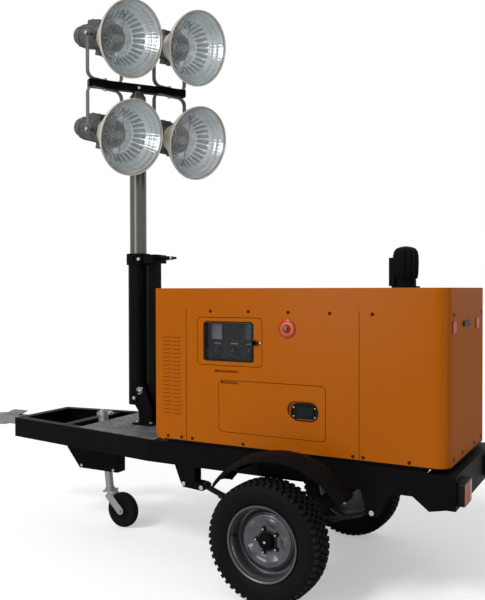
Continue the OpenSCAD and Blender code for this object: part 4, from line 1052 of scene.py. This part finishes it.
def make_mast_fittings():
    """Pins through the foot's cheeks with a spring clip, its plate's bolts, the collar's bolts and
    the lever's thick grip."""
    piece = Shape(finish=BOLT)
    pin_x, pin_z, clip_y = 1084, 862, 94
    for s in (-1, 1):
        for x, z in ((1126, 814), (pin_x, pin_z)):
            piece.hexagon((x, s * 76, z), (x, s * 92, z), 24)
            piece.bar((x, s * 90, z), (x, s * 98, z), 14)
        for x in (1002, 1100):
            piece.hexagon((x, s * 92, 673), (x, s * 92, 682), 19)
    clip = [(1060, 878), (1076, 882)] + arc(pin_x, pin_z, 20, 0, 300, 10)
    piece.pipe([(x, clip_y, z) for x, z in clip], 4)
    piece.finish("foot_pins", "chassis", bevel=0.6)
    collar = Shape(finish=BOLT)
    for degrees in (6.6, 126.6, 246.6):
        collar.place = on_trailer(MAST_X, 0, COLLAR_BOLTS_Z) @ turn(degrees, "Z")
        collar.hexagon((COLLAR_R - 2, 0, 0), (COLLAR_R + 9, 0, 0), 22)
        collar.bar((COLLAR_R + 8, 0, 0), (COLLAR_R + 13, 0, 0), 12)
    collar.finish("collar_bolts", "mast", bevel=0.6)
    lever = Shape(finish=BLACK)
    lever.bar((1004, 0, LEVER_Z), (926, 0, LEVER_Z), 25, 20, 0.3)
    lever.use(ZINC).bar((925, 0, LEVER_Z), (904, 0, LEVER_Z), 24, 20, 0.2)
    lever.finish("lever_grip", "chassis", bevel=0.6)


def make_yokes():
    """Each lamp's U of flat bar, with round corners where it lies on the crossbar."""
    piece = Shape(finish=YOKE)
    bend, thick, wide, half = 40, 5, 30, 120
    foot, top = 255.5, 12

    def edge(out):
        """The bar's line on one side, from the left arm's top to the right one's."""
        right = [(half + out, top)]
        right += arc(half - bend, bend - foot + thick / 2, bend + out, 0, -90, 8)
        return [(-y, z) for y, z in right] + right[::-1]

    rings = [[(-wide / 2, *a), (wide / 2, *a), (wide / 2, *b), (-wide / 2, *b)]
             for a, b in zip(edge(thick / 2), edge(-thick / 2))]
    for k in range(1, 5):
        up = 1 if k <= 2 else -1
        piece.place = pivot_place(k) @ Matrix.Diagonal((1, 1, up, 1))
        piece.loft(rings)
        for s in (-1, 1):
            piece.bar((0, s * (half - thick / 2), 0), (0, s * (half + thick / 2), 0), 44, 24, 0.02)
    piece.finish("yokes", "head", ["lamp_yokes"], "lamp_grey", bevel=0.6)


def make_crossbar_fittings():
    """End plugs, the yokes' bolts and the bolt through the middle."""
    piece = Shape(on_trailer(MAST_X, 0, CROSSBAR_Z) @ turn(CROSSBAR_HEADING, "Z"), PLASTIC)
    for s in (-1, 1):
        plug = sorted((s * (CROSSBAR_HALF - 4), s * (CROSSBAR_HALF + 1.5)))
        piece.use(PLASTIC).prism(rounded(-22, 0.5, 22, 44.5, 4), *plug, "x")
        for z, out in ((CROSSBAR_SIDE + 5, 10), (-5, -9)):
            piece.use(BOLT).hexagon((s * YOKE_AT, 0, z), (s * YOKE_AT, 0, z + out), 26)
        piece.hexagon((0, s * 22, 22), (0, s * 31, 22), 20)
    piece.finish("crossbar_fittings", "head", bevel=0.8)


# Chassis

JACK_X, JACK_Z, JACK_LEAN = 1412, 500, 6.7
SPRING_Y, HANGER_HALF = 375, 42


def make_deck_ribs():
    """Raised lozenges of the chequer plate."""
    lozenge = Shape(MILLIMETRES @ turn(45, "Z"), DECK)
    lozenge.add([(-12, 0, 0), (0, -3.4, 0), (12, 0, 0), (0, 3.4, 0), (-7, 0, 1.6), (0, -1.6, 1.6),
                 (7, 0, 1.6), (0, 1.6, 1.6)],
                [[0, 1, 5, 4], [1, 2, 6, 5], [2, 3, 7, 6], [3, 0, 4, 7], [4, 5, 6, 7], [3, 2, 1, 0]])
    low, high = (TRAILER.inverted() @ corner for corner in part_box("deck_plate"))
    place = on_trailer(low.x + 20, -270, high.z - 0.2) @ METRES
    mesh = repeated(GRID, lozenge, place, Columns=22, Rows=23, Column_step=(26 * MM, 0, 0),
                    Row_step=(0, 24 * MM, 0), Twist=(0, 0, radians(90)))
    ride(mesh, "deck_ribs", "chassis", sharp=20)


def make_jack_fittings():
    """The tube's cap, its crank's boss and bolt heads, and the bracket's bolts."""
    piece = Shape(on_trailer(JACK_X, 0, JACK_Z) @ turn(JACK_LEAN, "Y"), ZINC)
    piece.bar((0, 0, 196), (0, 0, 214), 34, 24)
    piece.bar((-48, 0, 190), (-74, 0, 190), 26, 16)
    plates = Shape(finish=BOLT)
    for s in (-1, 1):
        piece.use(BOLT).hexagon((0, s * 36, 184), (0, s * 44, 184), 16)
        for x, z in ((1570, 356), (1320, 352)):
            plates.hexagon((x, s * 36, z), (x, s * 48, z), 20)
    piece.finish("jack_top", "chassis", bevel=0.8)
    plates.finish("bracket_bolts", "chassis", bevel=0.6)


def make_spring_fittings():
    """The hangers' bolts, and the nuts of the axle clamps above and below the springs."""
    piece = Shape(finish=BOLT)
    for s in (-1, 1):
        for x, z in ((562, 450), (455, 442), (-455, 442)):
            for d in (-1, 1):
                y = s * SPRING_Y + d * HANGER_HALF
                piece.hexagon((x, y - d * 7, z), (x, y + d * 3, z), 26)
        for x in (-38, 38):
            for y in (s * (SPRING_Y - 31), s * (SPRING_Y + 31)):
                for z in (234, 366):
                    piece.hexagon((x, y, z), (x, y, z + 10), 19)
    piece.finish("spring_bolts", "chassis", bevel=0.6)


# Studio


def seen_directly(tree):
    """Whether a ray comes from the camera, straight or through glass, and all the kinds of rays."""
    rays = put(tree, "ShaderNodeLightPath").outputs
    return sums(tree, "MAXIMUM", rays["Is Camera Ray"], rays["Is Transmission Ray"]), rays


def make_floor():
    """A plain white floor. It is a little brighter to the camera, so it meets the white behind it."""
    mesh = bpy.data.meshes.new("floor")
    reach = 30
    mesh.from_pydata([(-reach, -reach, 0), (reach, -reach, 0), (reach, reach, 0), (-reach, reach, 0)],
                     [], [[0, 1, 2, 3]])
    material, tree = start_material("floor_white")
    shade = between(tree, noise(tree, object_place(tree), 0.7, 2.0), 0.3, 0.7, 0.79, 0.81)
    colour = put(tree, "ShaderNodeCombineXYZ", {0: shade, 1: shade, 2: shade}).outputs[0]
    close_material(tree, colour, 0.9, Specular_IOR_Level=0.1, Emission_Strength=1.0,
                   Emission_Color=between(tree, seen_directly(tree)[0], 0, 1, 0.0, 0.38))
    mesh.materials.append(material)
    floor = bpy.data.objects.new("floor", mesh)
    bpy.context.scene.collection.objects.link(floor)


def make_world():
    """White to the camera, to glass and to gloss, and a dimmer even light on everything."""
    world = bpy.data.worlds.new("studio")
    world.use_nodes = True
    tree = world.node_tree
    seen, rays = seen_directly(tree)
    white = sums(tree, "MAXIMUM", seen, rays["Is Glossy Ray"])
    back = tree.nodes["Background"]
    back.inputs["Color"].default_value = (1, 1, 1, 1)
    tree.links.new(between(tree, white, 0, 1, 0.45, 1.0), back.inputs["Strength"])
    bpy.context.scene.world = world


def add_light(kind, name, where, aim, power, **settings):
    lamp = bpy.data.lights.new(name, kind)
    lamp.energy = power
    for key, value in settings.items():
        setattr(lamp, key, value)
    holder = bpy.data.objects.new(name, lamp)
    holder.location = where
    holder.rotation_euler = (Vector(aim) - Vector(where)).to_track_quat("-Z", "Y").to_euler()
    holder.visible_camera = False
    bpy.context.scene.collection.objects.link(holder)


def make_lights():
    """Soft sun from the upper left, a tall window on that side, and a narrow one off the rear corner."""
    add_light("SUN", "sun", (1.5, 3.4, 3.6), (0, 0, 0), 1.4, angle=radians(16))
    add_light("AREA", "window", (0.6, 4.6, 2.2), (0.2, 0, 1.4), 55, shape="RECTANGLE", size=1.4, size_y=2.8)
    add_light("AREA", "narrow_window", (-4.4, 1.0, 1.2), (-1.5, 0.3, 1.1), 5, shape="RECTANGLE", size=0.25,
              size_y=2.0)


for wheel in SIDES:
    make_tyre(wheel)
    make_rim(wheel)
for number in range(1, 5):
    make_reflector(number)
    make_housing(number)
    make_glass(number)
make_screws()
make_front_corners()
make_louvres()
make_control_panel()
make_emergency_stop()
make_latches()
make_exhaust()
make_tail_lamps()
make_rear_reflectors()
make_mast_fittings()
make_yokes()
make_crossbar_fittings()
make_deck_ribs()
make_jack_fittings()
make_spring_fittings()
bpy.context.scene.view_settings.view_transform = "Standard"
make_floor()
make_world()
make_lights()
